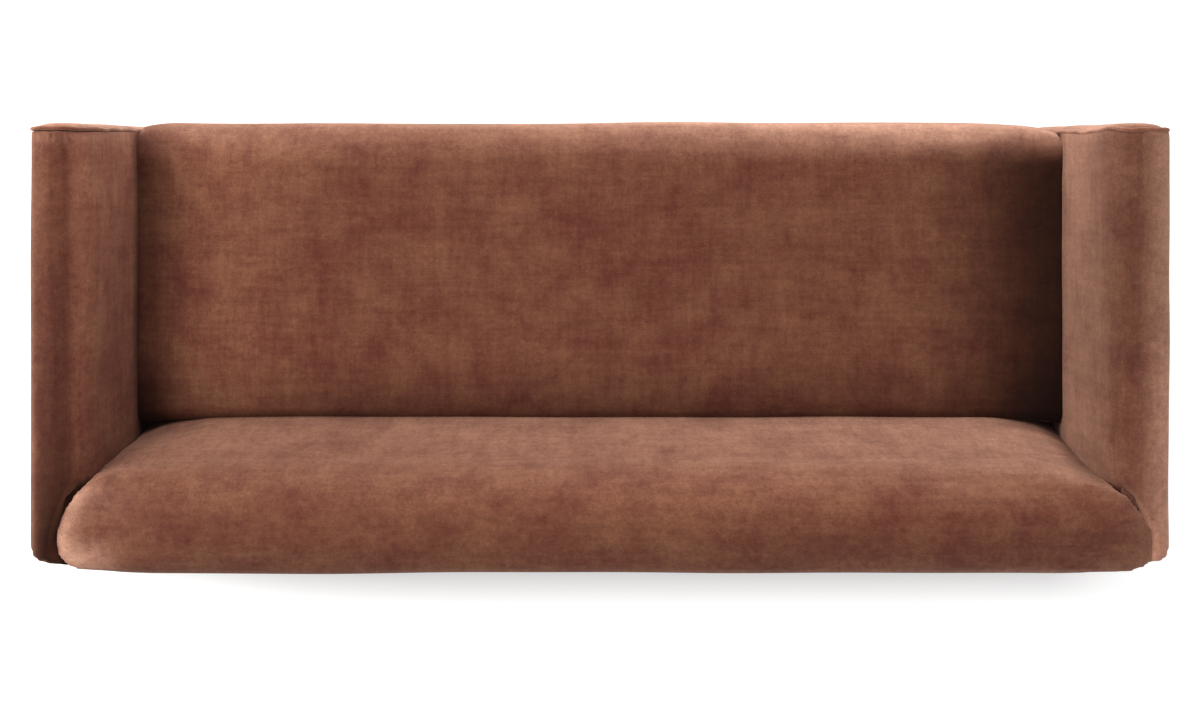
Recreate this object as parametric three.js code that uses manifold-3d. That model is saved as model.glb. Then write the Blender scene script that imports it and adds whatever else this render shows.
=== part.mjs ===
import * as THREE from "three";
import { mergeVertices } from "three/addons/utils/BufferGeometryUtils.js";
import Module from "manifold-3d";

const wasm = await Module();
wasm.setup();

// A three-seat tuxedo sofa with one bench cushion. Millimetres, +Z up from the floor, -Y the front.
// +X is the sitter's left. The origin is on the floor under the middle of the sofa.

// Overall sizes
const overallWidth = 2170;
const overallHeight = 760;
const frontReach = 432;
const rearReach = 432;
const fitGap = 0.3;
const cutOverrun = 6;
const weldDistance = 0.001;

// Legs, glides and dust cover
const glideHeight = 5;
const glideRadius = 12;
const glideFlatRadius = 9;
const glideDomeHeight = 1.6;
const legHeight = 124;
const legTopSize = 60;
const legFootSize = 38;
const legChamfer = 5;
const legShoulderHeight = 22;
const legShoulderSize = 57;
const dustCoverThickness = 1.5;
const dustCoverInset = 19;
const legBottom = glideHeight + fitGap;
const legTop = legBottom + legHeight;
const dustCoverBottom = legTop + fitGap;
const frameBottom = dustCoverBottom + dustCoverThickness + fitGap;

// Seat frame
const seatRailHeight = 118;
const railThickness = 28;
const boardEdge = 2.5;
const frontRailSetback = 42;
const rearRailSetback = 132;
const baseRailHeight = 60;
const baseRailThickness = 22;
const crossRailThickness = 44;
const crossRailDrop = 24;
const housingDepth = 9;
const cornerBlockLeg = 96;
const cornerBlockTip = 14;
const cornerBlockHeight = 38;
const cornerBlockRaise = 12;
const frontRailFace = frontReach - frontRailSetback;
const rearRailFace = rearReach - rearRailSetback;
const seatRailTop = frameBottom + seatRailHeight;

// Springs: wire, waves and clips
const springCount = 8;
const springCurls = 12;
const springWire = 3.8;
const springWidth = 52;
const springArch = 12;
const springSides = 4;
const springBendSteps = 3;
const clipThickness = 1.8;
const clipWidth = 16;
const clipLength = 13;
const clipSetback = 12;
const clipMouthShare = 0.25;
const clipCrownShare = 0.6;
const springEndMargin = 126;

// Seat deck and front border
const deckHeight = 45;
const deckLip = 6;
const deckEdgeRadius = 9;
const deckArchSteps = 12;
const borderEdgeThickness = 14;
const borderCrown = 8;
const deckTop = seatRailTop + deckHeight;

// Arms
const armThickness = 112;
const armFrontSetback = 30;
const armRearSetback = 13;
const armInnerRadius = 50;
const armOuterRadius = 28;
const armCornerRadius = 45;
const armRearTopRadius = 30;
const armCrown = 3;
const armPadding = 27;
const armTopPadding = 32;
const outsidePadding = 12.5;
const outsideSeamDrop = 70;
const outsideBackFullness = 3;
const armInner = overallWidth / 2 - armThickness;
const armOuter = overallWidth / 2;
const armFront = frontReach - armFrontSetback;
const armRear = rearReach - armRearSetback;
const outsideSeam = overallHeight - outsideSeamDrop;

// Arm front panels and their welts
const weltDiameter = 8;
const weltInset = 4.2;
const panelInset = weltInset + weltDiameter / 2 + fitGap;
const panelEdgeThickness = 5;
const panelCrown = 13;

// Arm and back frame boards
const linerThickness = 3;
const linerInner = armInner + armPadding + fitGap;
const armFrameInner = linerInner + linerThickness + fitGap;
const armFrameOuter = armOuter - outsidePadding - fitGap;
const frameRear = armRear - outsidePadding - fitGap;
const frontPostDepth = 50;
const rearPostDepth = 42;
const armTopRailHeight = 28;
const tackRailHeight = 45;
const tackRailThickness = 22;
const tackRailBottom = 300;
const frameTop = overallHeight - armTopPadding - fitGap;
const postTop = frameTop - armTopRailHeight - fitGap;
const backTopRailHeight = 40;
const backTopRailThickness = 38;
const ribThickness = 22;
const ribSpacing = 486;
const ribHoleMargin = 24;
const ribHoleHeightShare = 0.62;
const ribTopMargin = 2;

// Back webbing, a grid of straps stapled to the rails
const strapThickness = 2;
const strapWidth = 50;
const strapCount = 7;
const crossStrapCount = 2;

// Back pad
const backSlopeShare = 0.225;
const backSeatThickness = 231;
const backJoinHeight = 425;
const backFaceCrown = 6;
const backFrontRadius = 98;
const backEndRadius = 48;
const backRearRadius = 24;
const backTopCrown = 5;
const backSeamTuck = 6;
const backEndLength = 130;
const backEndDraw = 36;
const backEndTurnBottom = 446;
const backEndTurnHeight = 216;
const backRearDraw = 8;
const backEndDrop = 3;
const pillowOverlap = 23;
const pillowReach = 80;
const pillowFrontSetback = 172;
const pillowFrontLength = 108;
const pillowRearSetback = 3;
const pillowRearLength = 54;
const pillowRoot = 45;
const pillowEdge = 14;
const backJoin = rearReach - backSeatThickness;
const pillowFront = rearReach - pillowFrontSetback;
const pillowRear = rearReach - pillowRearSetback;

// Seat cushion
const cushionGap = 0.8;
const cushionThickness = 136;
const cushionCrown = 16;
const cushionFrontCornerWidth = 70;
const cushionFrontCornerDepth = 15;
const cushionRearCorner = 22;
const cushionEdgeRadius = 34;
const cushionFootDraw = 14;
const cushionRearDrawShare = 0.5;

// Steps of round stretches, and where along a stretch its points lie
const roundSteps = 6;
const smallRoundSteps = 3;
const cornerSteps = 4;
const pillowFrontSteps = 8;
const glideSteps = 16;
const weltSides = 8;
const armCrownShares = [0.25, 0.5, 0.75];
const backFaceShares = [0, 0.08, 0.2, 0.35, 0.5, 0.65, 0.8, 0.92];
const backCrownShares = [0.2, 0.4, 0.6, 0.8];
const backEndShares = [1, 0.75, 0.5, 0.25];
const backMiddleShares = [0, 0.28, 0.5, 0.72];
const outsideBackShares = [1, 0.6, 0.2, -0.2, -0.6, -1];
const cushionLengthShares = [-0.8, -0.6, -0.4, -0.2, 0, 0.2, 0.4, 0.6, 0.8];
const cushionSideShares = [0.25, 0.5, 0.75];

// The pillow end's levels: how far it is drawn in and how far its edge and its crown have risen
const pillowLevelShares = [
  { draw: 0, edge: 0, crown: 0 },
  { draw: 0.06, edge: 0.6, crown: 0 },
  { draw: 0.18, edge: 0.9, crown: 0 },
  { draw: 0.5, edge: 1, crown: 0.3 },
];

// A crowned panel's levels: how far it is drawn in and how far its crown has risen
const panelLevelShares = [
  { draw: 0, rise: 0 },
  { draw: 0.05, rise: 0.3 },
  { draw: 0.16, rise: 0.62 },
  { draw: 0.36, rise: 0.87 },
  { draw: 0.66, rise: 1 },
];

// The cushion's levels below its widest: rise and draws as shares of the foot
const cushionFootShares = [
  { rise: 0, draw: 1, front: 1.6 },
  { rise: 0.35, draw: 0.35, front: 1.1 },
  { rise: 1, draw: 0, front: 0.7 },
];

// The cushion's upright side: rise as a share of its thickness, front draw as a share of the foot
const cushionWallShares = [
  { rise: 0.35, front: 0.1 },
  { rise: 0.55, front: 0 },
];

// The cushion's top edge: drop and draws as shares of the edge radius, crown as a share of the crown
const cushionEdgeShares = [
  { drop: 0.8, draw: 0, front: 0.1, crown: 0 },
  { drop: 0.45, draw: 0.12, front: 0.28, crown: 0 },
  { drop: 0.18, draw: 0.36, front: 0.6, crown: 0.2 },
  { drop: 0.03, draw: 0.8, front: 1.1, crown: 0.7 },
  { drop: 0, draw: 2, front: 2.2, crown: 1 },
];

// The rings that close the cushion's bottom and top, drawn in by shares of its depth
const cushionBottomShare = 0.22;
const cushionTopShares = [0.24, 0.42];

// Roughness and metal of the finishes
const velvetRoughnessShare = 0.85;
const clothRoughnessShare = 0.95;
const webbingRoughnessShare = 0.9;
const beechRoughnessShare = 0.6;
const walnutRoughnessShare = 0.35;
const steelRoughnessShare = 0.4;
const nylonRoughnessShare = 0.5;

// Colours of the finishes
const velvetColour = 0x744637;
const webbingColour = 0xb9a98a;
const deckColour = 0x3a3533;
const dustColour = 0x1c1c1d;
const beechColour = 0xc9a577;
const walnutColour = 0x3b2418;
const steelColour = 0x8a8d90;
const nylonColour = 0xb8b4aa;

// Turns a closed geometry into a solid that can be cut and joined.
function toSolid(geometry) {
  const bare = geometry.clone();
  bare.deleteAttribute("normal");
  bare.deleteAttribute("uv");
  const merged = mergeVertices(bare, weldDistance);
  return new wasm.Manifold(new wasm.Mesh({
    numProp: 3,
    vertProperties: new Float32Array(merged.attributes.position.array),
    triVerts: new Uint32Array(merged.index.array),
  }));
}

// Turns a solid back into a geometry.
function toGeometry(solid) {
  const mesh = solid.getMesh();
  const geometry = new THREE.BufferGeometry();
  geometry.setAttribute("position", new THREE.BufferAttribute(new Float32Array(mesh.vertProperties), 3));
  geometry.setIndex(new THREE.BufferAttribute(new Uint32Array(mesh.triVerts), 1));
  return geometry;
}

// Six times the signed volume, which is negative where the faces point inwards.
function signedVolume(geometry) {
  const corners = geometry.attributes.position;
  const index = geometry.index.array;
  const [a, b, c] = [new THREE.Vector3(), new THREE.Vector3(), new THREE.Vector3()];
  let sum = 0;
  for (let i = 0; i < index.length; i += 3) {
    a.fromBufferAttribute(corners, index[i]);
    b.fromBufferAttribute(corners, index[i + 1]);
    c.fromBufferAttribute(corners, index[i + 2]);
    sum += a.dot(b.cross(c));
  }
  return sum;
}

// Turns every face over.
function turnedOver(geometry) {
  const index = geometry.index.array;
  for (let i = 0; i < index.length; i += 3) {
    [index[i + 1], index[i + 2]] = [index[i + 2], index[i + 1]];
  }
  return geometry;
}

// Triangles that close one planar ring, seen in the two axes that flatten picks.
function capTriangles(ring, flatten) {
  return THREE.ShapeUtils.triangulateShape(ring.map(flatten), []);
}

// A closed skin over rings with equal numbers of points, capped at both ends.
function loft(rings, flatten) {
  const count = rings[0].length;
  const positions = rings.flat().flatMap((point) => [point.x, point.y, point.z]);
  const indices = [];
  for (let r = 0; r + 1 < rings.length; r += 1) {
    for (let i = 0; i < count; i += 1) {
      const next = (i + 1) % count;
      const [a, b] = [r * count + i, r * count + next];
      indices.push(a, b, b + count, a, b + count, a + count);
    }
  }
  const side = Math.sign(THREE.ShapeUtils.area(rings[0].map(flatten)));
  const lastStart = (rings.length - 1) * count;
  for (const [a, b, c] of capTriangles(rings[0], flatten)) {
    indices.push(...(side > 0 ? [a, c, b] : [a, b, c]));
  }
  for (const [a, b, c] of capTriangles(rings[rings.length - 1], flatten)) {
    indices.push(...(side > 0 ? [a, b, c] : [a, c, b]).map((i) => i + lastStart));
  }
  const geometry = new THREE.BufferGeometry();
  geometry.setAttribute("position", new THREE.Float32BufferAttribute(positions, 3));
  geometry.setIndex(indices);
  return signedVolume(geometry) < 0 ? turnedOver(geometry) : geometry;
}

// Points of a round or elliptical stretch, both ends included.
function arc(centreX, centreY, radiusX, radiusY, from, to, steps) {
  const points = [];
  for (let i = 0; i <= steps; i += 1) {
    const angle = THREE.MathUtils.degToRad(from + ((to - from) * i) / steps);
    points.push(new THREE.Vector2(centreX + radiusX * Math.cos(angle), centreY + radiusY * Math.sin(angle)));
  }
  return points;
}

// A box between two corners.
function block(low, high) {
  const size = new THREE.Vector3().subVectors(high, low);
  const centre = new THREE.Vector3().addVectors(high, low).multiplyScalar(0.5);
  return new THREE.BoxGeometry(size.x, size.y, size.z).translate(centre.x, centre.y, centre.z);
}

const point = (x, y, z) => new THREE.Vector3(x, y, z);

// An outline in the X-Y plane, raised from one height to another.
function raised(outline, bottom, top, holes = []) {
  const shape = new THREE.Shape(outline);
  shape.holes = holes.map((hole) => new THREE.Path(hole));
  const geometry = new THREE.ExtrudeGeometry(shape, { depth: top - bottom, bevelEnabled: false });
  return geometry.translate(0, 0, bottom);
}

// An outline in the Y-Z plane, run from one X to another.
function runAlongX(outline, from, to, holes = []) {
  const geometry = raised(outline, from, to, holes);
  const toYZ = new THREE.Matrix4().set(0, 0, 1, 0, 1, 0, 0, 0, 0, 1, 0, 0, 0, 0, 0, 1);
  return geometry.applyMatrix4(toYZ);
}

// An outline in the X-Z plane, run from one Y to another.
function runAlongY(outline, from, to) {
  const geometry = raised(outline, -to, -from);
  return geometry.rotateX(Math.PI / 2);
}

// A board's section with its long edges eased.
function easedRectangle(x0, x1, y0, y1, ease) {
  return [
    new THREE.Vector2(x0 + ease, y0),
    new THREE.Vector2(x1 - ease, y0),
    new THREE.Vector2(x1, y0 + ease),
    new THREE.Vector2(x1, y1 - ease),
    new THREE.Vector2(x1 - ease, y1),
    new THREE.Vector2(x0 + ease, y1),
    new THREE.Vector2(x0, y1 - ease),
    new THREE.Vector2(x0, y0 + ease),
  ];
}

// The mirror image across the Y-Z plane, for the sitter's right side.
function mirrored(geometry) {
  const copy = toGeometry(toSolid(geometry));
  const corners = copy.attributes.position;
  for (let i = 0; i < corners.count; i += 1) {
    corners.setX(i, -corners.getX(i));
  }
  return turnedOver(copy);
}

const sofa = new THREE.Group();

// Adds one named piece in its finish.
function add(name, geometry, colour, roughness, metalness = 0) {
  const material = new THREE.MeshStandardMaterial({ color: colour, roughness, metalness });
  const mesh = new THREE.Mesh(geometry, material);
  mesh.name = name;
  sofa.add(mesh);
}

const addVelvet = (name, geometry) => add(name, geometry, velvetColour, velvetRoughnessShare);
const addBeech = (name, geometry) => add(name, geometry, beechColour, beechRoughnessShare);

// Adds a piece of the left side and its mirror image on the right.
function addPair(name, geometry, adder) {
  adder(`left_${name}`, geometry);
  adder(`right_${name}`, mirrored(geometry));
}

// The arm's outline seen from the front, drawn in by an inset: up the inner side, over the top and down.
function armOutline(bottom, inset) {
  const inner = armInner + inset;
  const outer = armOuter - inset;
  const top = overallHeight - armCrown - inset;
  const [innerRadius, outerRadius] = [armInnerRadius - inset, armOuterRadius - inset];
  const rise = arc(inner + innerRadius, top - innerRadius, innerRadius, innerRadius, 180, 90, roundSteps);
  const fall = arc(outer - outerRadius, top - outerRadius, outerRadius, outerRadius, 90, 0, roundSteps);
  const flatStart = inner + innerRadius;
  const flatLength = outer - outerRadius - flatStart;
  const crown = armCrownShares.map((share) => new THREE.Vector2(
    flatStart + flatLength * share,
    top + armCrown * Math.sin(Math.PI * share),
  ));
  return [new THREE.Vector2(inner, bottom), ...rise, ...crown, ...fall, new THREE.Vector2(outer, bottom)];
}

// The front of the webbing and of the rails that carry it, seen from the side, moved forward by a clearance.
const webFoot = rearRailFace;
const webHead = frameRear - backTopRailThickness;
const webFootTop = tackRailBottom + tackRailHeight;
const webHeadBottom = frameTop - backTopRailHeight;
function webbingLine(forward, bottom, top) {
  return [
    new THREE.Vector2(webFoot - forward, bottom),
    new THREE.Vector2(webFoot - forward, webFootTop),
    new THREE.Vector2(webHead - forward, webHeadBottom),
    new THREE.Vector2(webHead - forward, top),
  ];
}

const padBottom = deckTop + fitGap;
const padClearance = strapThickness + 2 * fitGap;

// How far the back's face is drawn back at the arm: most at the seat, and forward of the middle near the top.
function endDraw(height) {
  const turnShare = (height - backEndTurnBottom) / backEndTurnHeight;
  return backEndDraw * Math.min(1 - turnShare, 1);
}

// The upholstered face of the back at a height, where an end share of 1 is at the arm.
function backFace(height, endShare = 0) {
  const span = overallHeight - padBottom;
  const rise = THREE.MathUtils.clamp((height - padBottom) / span, 0, 1);
  const crown = backFaceCrown * Math.sin(Math.PI * rise);
  const flat = backJoin + (height - backJoinHeight) * backSlopeShare;
  return flat - crown + endDraw(height) * endShare;
}

// One section of the back pad across its thickness, from the seat up, over the top and down to the rear seam.
function backSection(x) {
  const end = armInner - fitGap - backEndLength;
  const endShare = THREE.MathUtils.clamp((Math.abs(x) - end) / backEndLength, 0, 1) ** 2;
  const top = overallHeight - backTopCrown - backEndDrop * endShare;
  const radius = THREE.MathUtils.lerp(backFrontRadius, backEndRadius, endShare);
  const faceTop = top - radius;
  const rear = rearReach - backRearDraw * endShare;
  const face = backFaceShares.map((share) => {
    const height = padBottom + (faceTop - padBottom) * share;
    return new THREE.Vector2(backFace(height, endShare), height);
  });
  const flatStart = backFace(faceTop, endShare) + radius;
  const flatLength = rear - backRearRadius - flatStart;
  const frontArc = arc(flatStart, faceTop, radius, radius, 180, 90, roundSteps);
  const [rearX, rearZ] = [rear - backRearRadius, top - backRearRadius];
  const rearArc = arc(rearX, rearZ, backRearRadius, backRearRadius, 90, 0, roundSteps);
  const crown = backCrownShares.map((share) => new THREE.Vector2(
    flatStart + flatLength * share,
    top + backTopCrown * Math.sin(Math.PI * share),
  ));
  const inside = webbingLine(padClearance, padBottom, frameTop + fitGap).reverse();
  const outline = [
    ...face, ...frontArc, ...crown, ...rearArc,
    new THREE.Vector2(rear - backSeamTuck, outsideSeam),
    new THREE.Vector2(frameRear + fitGap, outsideSeam),
    new THREE.Vector2(frameRear + fitGap, frameTop + fitGap),
    ...inside,
  ];
  return outline.map((p) => point(x, p.x, p.y));
}

// The plan outline of the pillow end that spreads over the arm.
function pillowPlan(grow) {
  const front = pillowFront - grow;
  const rear = pillowRear + grow;
  const centreX = armInner - pillowOverlap;
  const reach = pillowReach + grow;
  const centreFront = pillowFront + pillowFrontLength;
  const centreRear = pillowRear - pillowRearLength;
  return [
    new THREE.Vector2(armInner - pillowRoot, front),
    ...arc(centreX, centreFront, reach, centreFront - front, -90, 0, pillowFrontSteps),
    ...arc(centreX, centreRear, reach, rear - centreRear, 0, 90, roundSteps),
    new THREE.Vector2(armInner - pillowRoot, rear),
  ];
}

// The pillow end as a low domed pad on the arm's top rail.
function pillowEnd() {
  const plan = pillowPlan(0);
  const centre = new THREE.Vector2(armInner, (pillowFront + pillowRear) / 2);
  const edgeTop = overallHeight - backTopCrown - backEndDrop;
  const levels = pillowLevelShares.map(({ draw, edge, crown }) => (
    { draw, height: edgeTop - pillowEdge * (1 - edge) + backTopCrown * crown }
  ));
  const floor = { draw: 0, height: frameTop + fitGap };
  const rings = [floor, ...levels].map(({ draw, height }) => plan.map((p) => {
    const drawn = p.clone().lerp(centre, draw);
    return point(drawn.x, drawn.y, height);
  }));
  return loft(rings, (p) => new THREE.Vector2(p.x, p.y));
}

// The inside back: foam and velvet over the webbing, the top rail and the inner half of each arm.
function insideBackPad() {
  const half = armInner - fitGap;
  const endStations = backEndShares.map((share) => half - backEndLength * (1 - share));
  const middleHalf = half - backEndLength;
  const middle = backMiddleShares.map((share) => middleHalf * (1 - 2 * share));
  const stations = [...endStations, ...middle, -middleHalf, ...endStations.map((x) => -x).reverse()];
  const main = toSolid(loft(stations.map(backSection), (p) => new THREE.Vector2(p.y, p.z)));
  const cap = pillowEnd();
  return toGeometry(main.add(toSolid(cap)).add(toSolid(mirrored(cap))));
}

// One arm's upholstery: inner wall, domed top, and the outer and rear returns down to the outside seam.
function armPad() {
  const bottom = seatRailTop + fitGap;
  const front = runAlongY(armOutline(bottom, 0), -armFront, armRear);
  const [cornerX, cornerY] = [armOuter - armCornerRadius, armRear - armCornerRadius];
  const plan = [
    new THREE.Vector2(armInner - cutOverrun, -armFront - cutOverrun),
    new THREE.Vector2(armOuter, -armFront - cutOverrun),
    ...arc(cornerX, cornerY, armCornerRadius, armCornerRadius, 0, 90, roundSteps),
    new THREE.Vector2(armInner - cutOverrun, armRear),
  ];
  const side = [
    new THREE.Vector2(-armFront - cutOverrun, bottom - cutOverrun),
    new THREE.Vector2(armRear, bottom - cutOverrun),
    ...arc(armRear - armRearTopRadius, overallHeight - armRearTopRadius,
      armRearTopRadius, armRearTopRadius, 0, 90, roundSteps),
    new THREE.Vector2(-armFront - cutOverrun, overallHeight),
  ];
  const planSolid = toSolid(raised(plan, bottom - cutOverrun, overallHeight + cutOverrun));
  const sideSolid = toSolid(runAlongX(side, armInner - cutOverrun, armOuter + cutOverrun));
  const wallEnd = [
    ...webbingLine(padClearance, bottom - cutOverrun, frameTop + fitGap),
    new THREE.Vector2(frameRear + fitGap, frameTop + fitGap),
    new THREE.Vector2(frameRear + fitGap, outsideSeam),
    new THREE.Vector2(armRear + cutOverrun, outsideSeam),
    new THREE.Vector2(armRear + cutOverrun, bottom - cutOverrun),
  ];
  const frameSpace = block(
    point(linerInner - fitGap, -armFront - cutOverrun, bottom - cutOverrun),
    point(armFrameOuter + fitGap, frameRear + fitGap, frameTop + fitGap),
  );
  const belowSeam = block(
    point(linerInner - fitGap, -armFront - cutOverrun, bottom - cutOverrun),
    point(armOuter + cutOverrun, armRear + cutOverrun, outsideSeam),
  );
  const pillowSpace = raised(pillowPlan(fitGap), frameTop, overallHeight + cutOverrun);
  const cuts = [
    frameSpace,
    belowSeam,
    pillowSpace,
    runAlongX(wallEnd, armInner - cutOverrun, armFrameInner),
  ];
  const whole = toSolid(front).intersect(planSolid).intersect(sideSolid);
  return toGeometry(cuts.reduce((solid, cut) => solid.subtract(toSolid(cut)), whole));
}

// The outside arm: one thin panel from the front, round the rear corner, to the outside back.
function outsideArmPanel() {
  const [cornerX, cornerY] = [armOuter - armCornerRadius, armRear - armCornerRadius];
  const inside = armCornerRadius - outsidePadding;
  const plan = [
    new THREE.Vector2(armOuter, -armFront),
    ...arc(cornerX, cornerY, armCornerRadius, armCornerRadius, 0, 90, roundSteps),
    ...arc(cornerX, cornerY, inside, inside, 90, 0, roundSteps),
    new THREE.Vector2(armOuter - outsidePadding, -armFront),
  ];
  return raised(plan, frameBottom, outsideSeam - fitGap);
}

// The outside back, stretched flat between the two rear corners, a little full in the middle.
function outsideBackPanel() {
  const half = armOuter - armCornerRadius - fitGap;
  const rear = outsideBackShares.map((share) => new THREE.Vector2(
    half * share,
    armRear + outsideBackFullness * (1 - share * share),
  ));
  const inside = frameRear + fitGap;
  const plan = [new THREE.Vector2(-half, inside), new THREE.Vector2(half, inside), ...rear];
  return raised(plan, frameBottom, outsideSeam - fitGap);
}

// A padded panel over an X-Z outline, its edge upright and its face crowned towards the front.
function crownedPanel(outline, back, edgeThickness, crown) {
  const box = new THREE.Box2().setFromPoints(outline);
  const centre = box.getCenter(new THREE.Vector2());
  const size = box.getSize(new THREE.Vector2());
  const reach = Math.min(size.x, size.y) / 2;
  const drawnIn = (value, middle, length, share) => (
    length / 2 <= reach
      ? THREE.MathUtils.lerp(value, middle, share)
      : value + Math.sign(middle - value) * Math.min(Math.abs(middle - value), share * reach)
  );
  const levels = panelLevelShares.map(({ draw, rise }) => ({ draw, forward: edgeThickness + crown * rise }));
  const rings = [{ draw: 0, forward: 0 }, ...levels].map(({ draw, forward }) => outline.map((p) => {
    const x = drawnIn(p.x, centre.x, size.x, draw);
    const z = drawnIn(p.y, centre.y, size.y, draw);
    return point(x, -(back + forward), z);
  }));
  return loft(rings, (p) => new THREE.Vector2(p.x, p.z));
}

// The padded board that closes the front of an arm.
function armFrontPanel() {
  const outline = armOutline(frameBottom + fitGap, panelInset);
  return crownedPanel(outline, armFront + fitGap, panelEdgeThickness, panelCrown);
}

// A run through given points, stepped point by point, for a section to follow.
class Run extends THREE.Curve {
  constructor(points) {
    super();
    this.points = points;
  }

  getPoint(t) {
    const place = t * (this.points.length - 1);
    const i = Math.min(Math.floor(place), this.points.length - 2);
    return this.points[i].clone().lerp(this.points[i + 1], place - i);
  }

  getPointAt(t) {
    return this.getPoint(t);
  }

  getSpacedPoints(steps) {
    return Array.from({ length: steps + 1 }, (_, i) => this.getPoint(i / steps));
  }

  getTangentAt(t) {
    const last = this.points.length - 1;
    const i = Math.round(t * last);
    const before = this.points[Math.max(i - 1, 0)];
    const after = this.points[Math.min(i + 1, last)];
    return new THREE.Vector3().subVectors(after, before).normalize();
  }
}

// A round bar of a few sides along a run of points.
function bar(points, diameter, sides) {
  const section = new THREE.Shape(
    Array.from({ length: sides }, (_, i) => {
      const angle = ((i + 0.5) / sides) * Math.PI * 2;
      return new THREE.Vector2(Math.cos(angle), Math.sin(angle)).multiplyScalar(diameter / 2);
    }),
  );
  return new THREE.ExtrudeGeometry(section, { steps: points.length - 1, extrudePath: new Run(points) });
}

// The piping round an arm's front: up the inner side, over the top and down the outer side.
function armFrontWelt() {
  const depth = armFront + fitGap + weltDiameter / 2;
  const route = armOutline(frameBottom + fitGap, weltInset).map((p) => point(p.x, -depth, p.y));
  return bar(route, weltDiameter, weltSides);
}

// The least distance between parts of one wire that aren't neighbours, less the wire itself.
function leastGap(points, diameter, skip) {
  let least = Infinity;
  points.forEach((a, i) => {
    for (let j = i + skip; j < points.length; j += 1) {
      least = Math.min(least, a.distanceTo(points[j]) - diameter);
    }
  });
  return least;
}

// The springs' run between the front and rear seat rails.
const springFront = -(frontRailFace - railThickness + clipSetback);
const springRear = rearRailFace + clipSetback;
const wireBase = seatRailTop + fitGap + clipThickness + springWire / 2;

// The height of a spring's wire above its ends.
function archAt(y) {
  const share = (y - springFront) / (springRear - springFront);
  return springArch * 4 * share * (1 - share);
}

// The route of one sinuous spring: straight bars across, joined by half-round bends.
function springRoute(x) {
  const halfWaves = springCurls * 2;
  const pitch = (springRear - springFront) / halfWaves;
  const bend = pitch / 2;
  const reach = springWidth / 2 - bend;
  const route = [point(x - reach, springFront, wireBase)];
  for (let i = 0; i < halfWaves; i += 1) {
    const side = i % 2 === 0 ? 1 : -1;
    const centre = springFront + pitch * i + bend;
    for (const turn of arc(0, 0, bend, bend, -90, 90, springBendSteps)) {
      const y = centre + turn.y;
      route.push(point(x + side * (reach + turn.x), y, wireBase + archAt(y)));
    }
  }
  route.push(point(x + reach, springRear, wireBase));
  return route;
}

// A folded steel clip that holds the end bar of a spring down on its rail, opening towards the seat.
function springClip(x, y, opening) {
  const [bottom, top] = [seatRailTop + fitGap, wireBase + springWire / 2 + clipThickness];
  const heel = clipLength - springWire;
  const outline = [
    new THREE.Vector2(y - opening * heel, bottom),
    new THREE.Vector2(y + opening * springWire, bottom),
    new THREE.Vector2(y + opening * springWire, wireBase - springWire * clipMouthShare),
    new THREE.Vector2(y + opening * springWire * clipCrownShare, top),
    new THREE.Vector2(y - opening * springWire * clipCrownShare, top),
    new THREE.Vector2(y - opening * springWire, wireBase),
    new THREE.Vector2(y - opening * springWire, bottom + clipThickness),
    new THREE.Vector2(y - opening * heel, bottom + clipThickness),
  ];
  const turned = opening > 0 ? outline : outline.reverse();
  return runAlongX(turned, x - clipWidth / 2, x + clipWidth / 2);
}

// One spring with its two clips.
function spring(x) {
  const wire = toSolid(bar(springRoute(x), springWire, springSides));
  const clips = [springClip(x, springFront, 1), springClip(x, springRear, -1)];
  return toGeometry(clips.reduce((solid, clip) => solid.add(toSolid(clip)), wire));
}

// The seat deck: a pad on the springs, arched underneath, with a lip on the front and rear rails.
function seatDeck() {
  const half = armInner - fitGap;
  const [front, rear] = [-frontRailFace, rearRailFace + railThickness];
  const edge = deckEdgeRadius;
  const lipBottom = seatRailTop + fitGap;
  const overWire = springWire / 2 + clipThickness + 3 * fitGap;
  const arch = Array.from({ length: deckArchSteps + 1 }, (_, i) => {
    const y = THREE.MathUtils.lerp(front + deckLip, rear - deckLip, i / deckArchSteps);
    return new THREE.Vector2(y, wireBase + Math.max(archAt(y), 0) + overWire);
  });
  const outline = [
    new THREE.Vector2(front, lipBottom),
    new THREE.Vector2(front + deckLip, lipBottom),
    ...arch,
    new THREE.Vector2(rear - deckLip, lipBottom),
    new THREE.Vector2(rear, lipBottom),
    new THREE.Vector2(rear, deckTop),
    ...arc(front + edge, deckTop - edge, edge, edge, 90, 180, smallRoundSteps),
  ];
  return runAlongX(outline, -half, half);
}

// The padded border under the cushion's front edge.
function frontBorder() {
  const half = armInner - fitGap;
  const top = deckTop - fitGap;
  const outline = easedRectangle(-half, half, frameBottom, top, boardEdge);
  return crownedPanel(outline, frontRailFace + fitGap, borderEdgeThickness, borderCrown);
}

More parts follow.
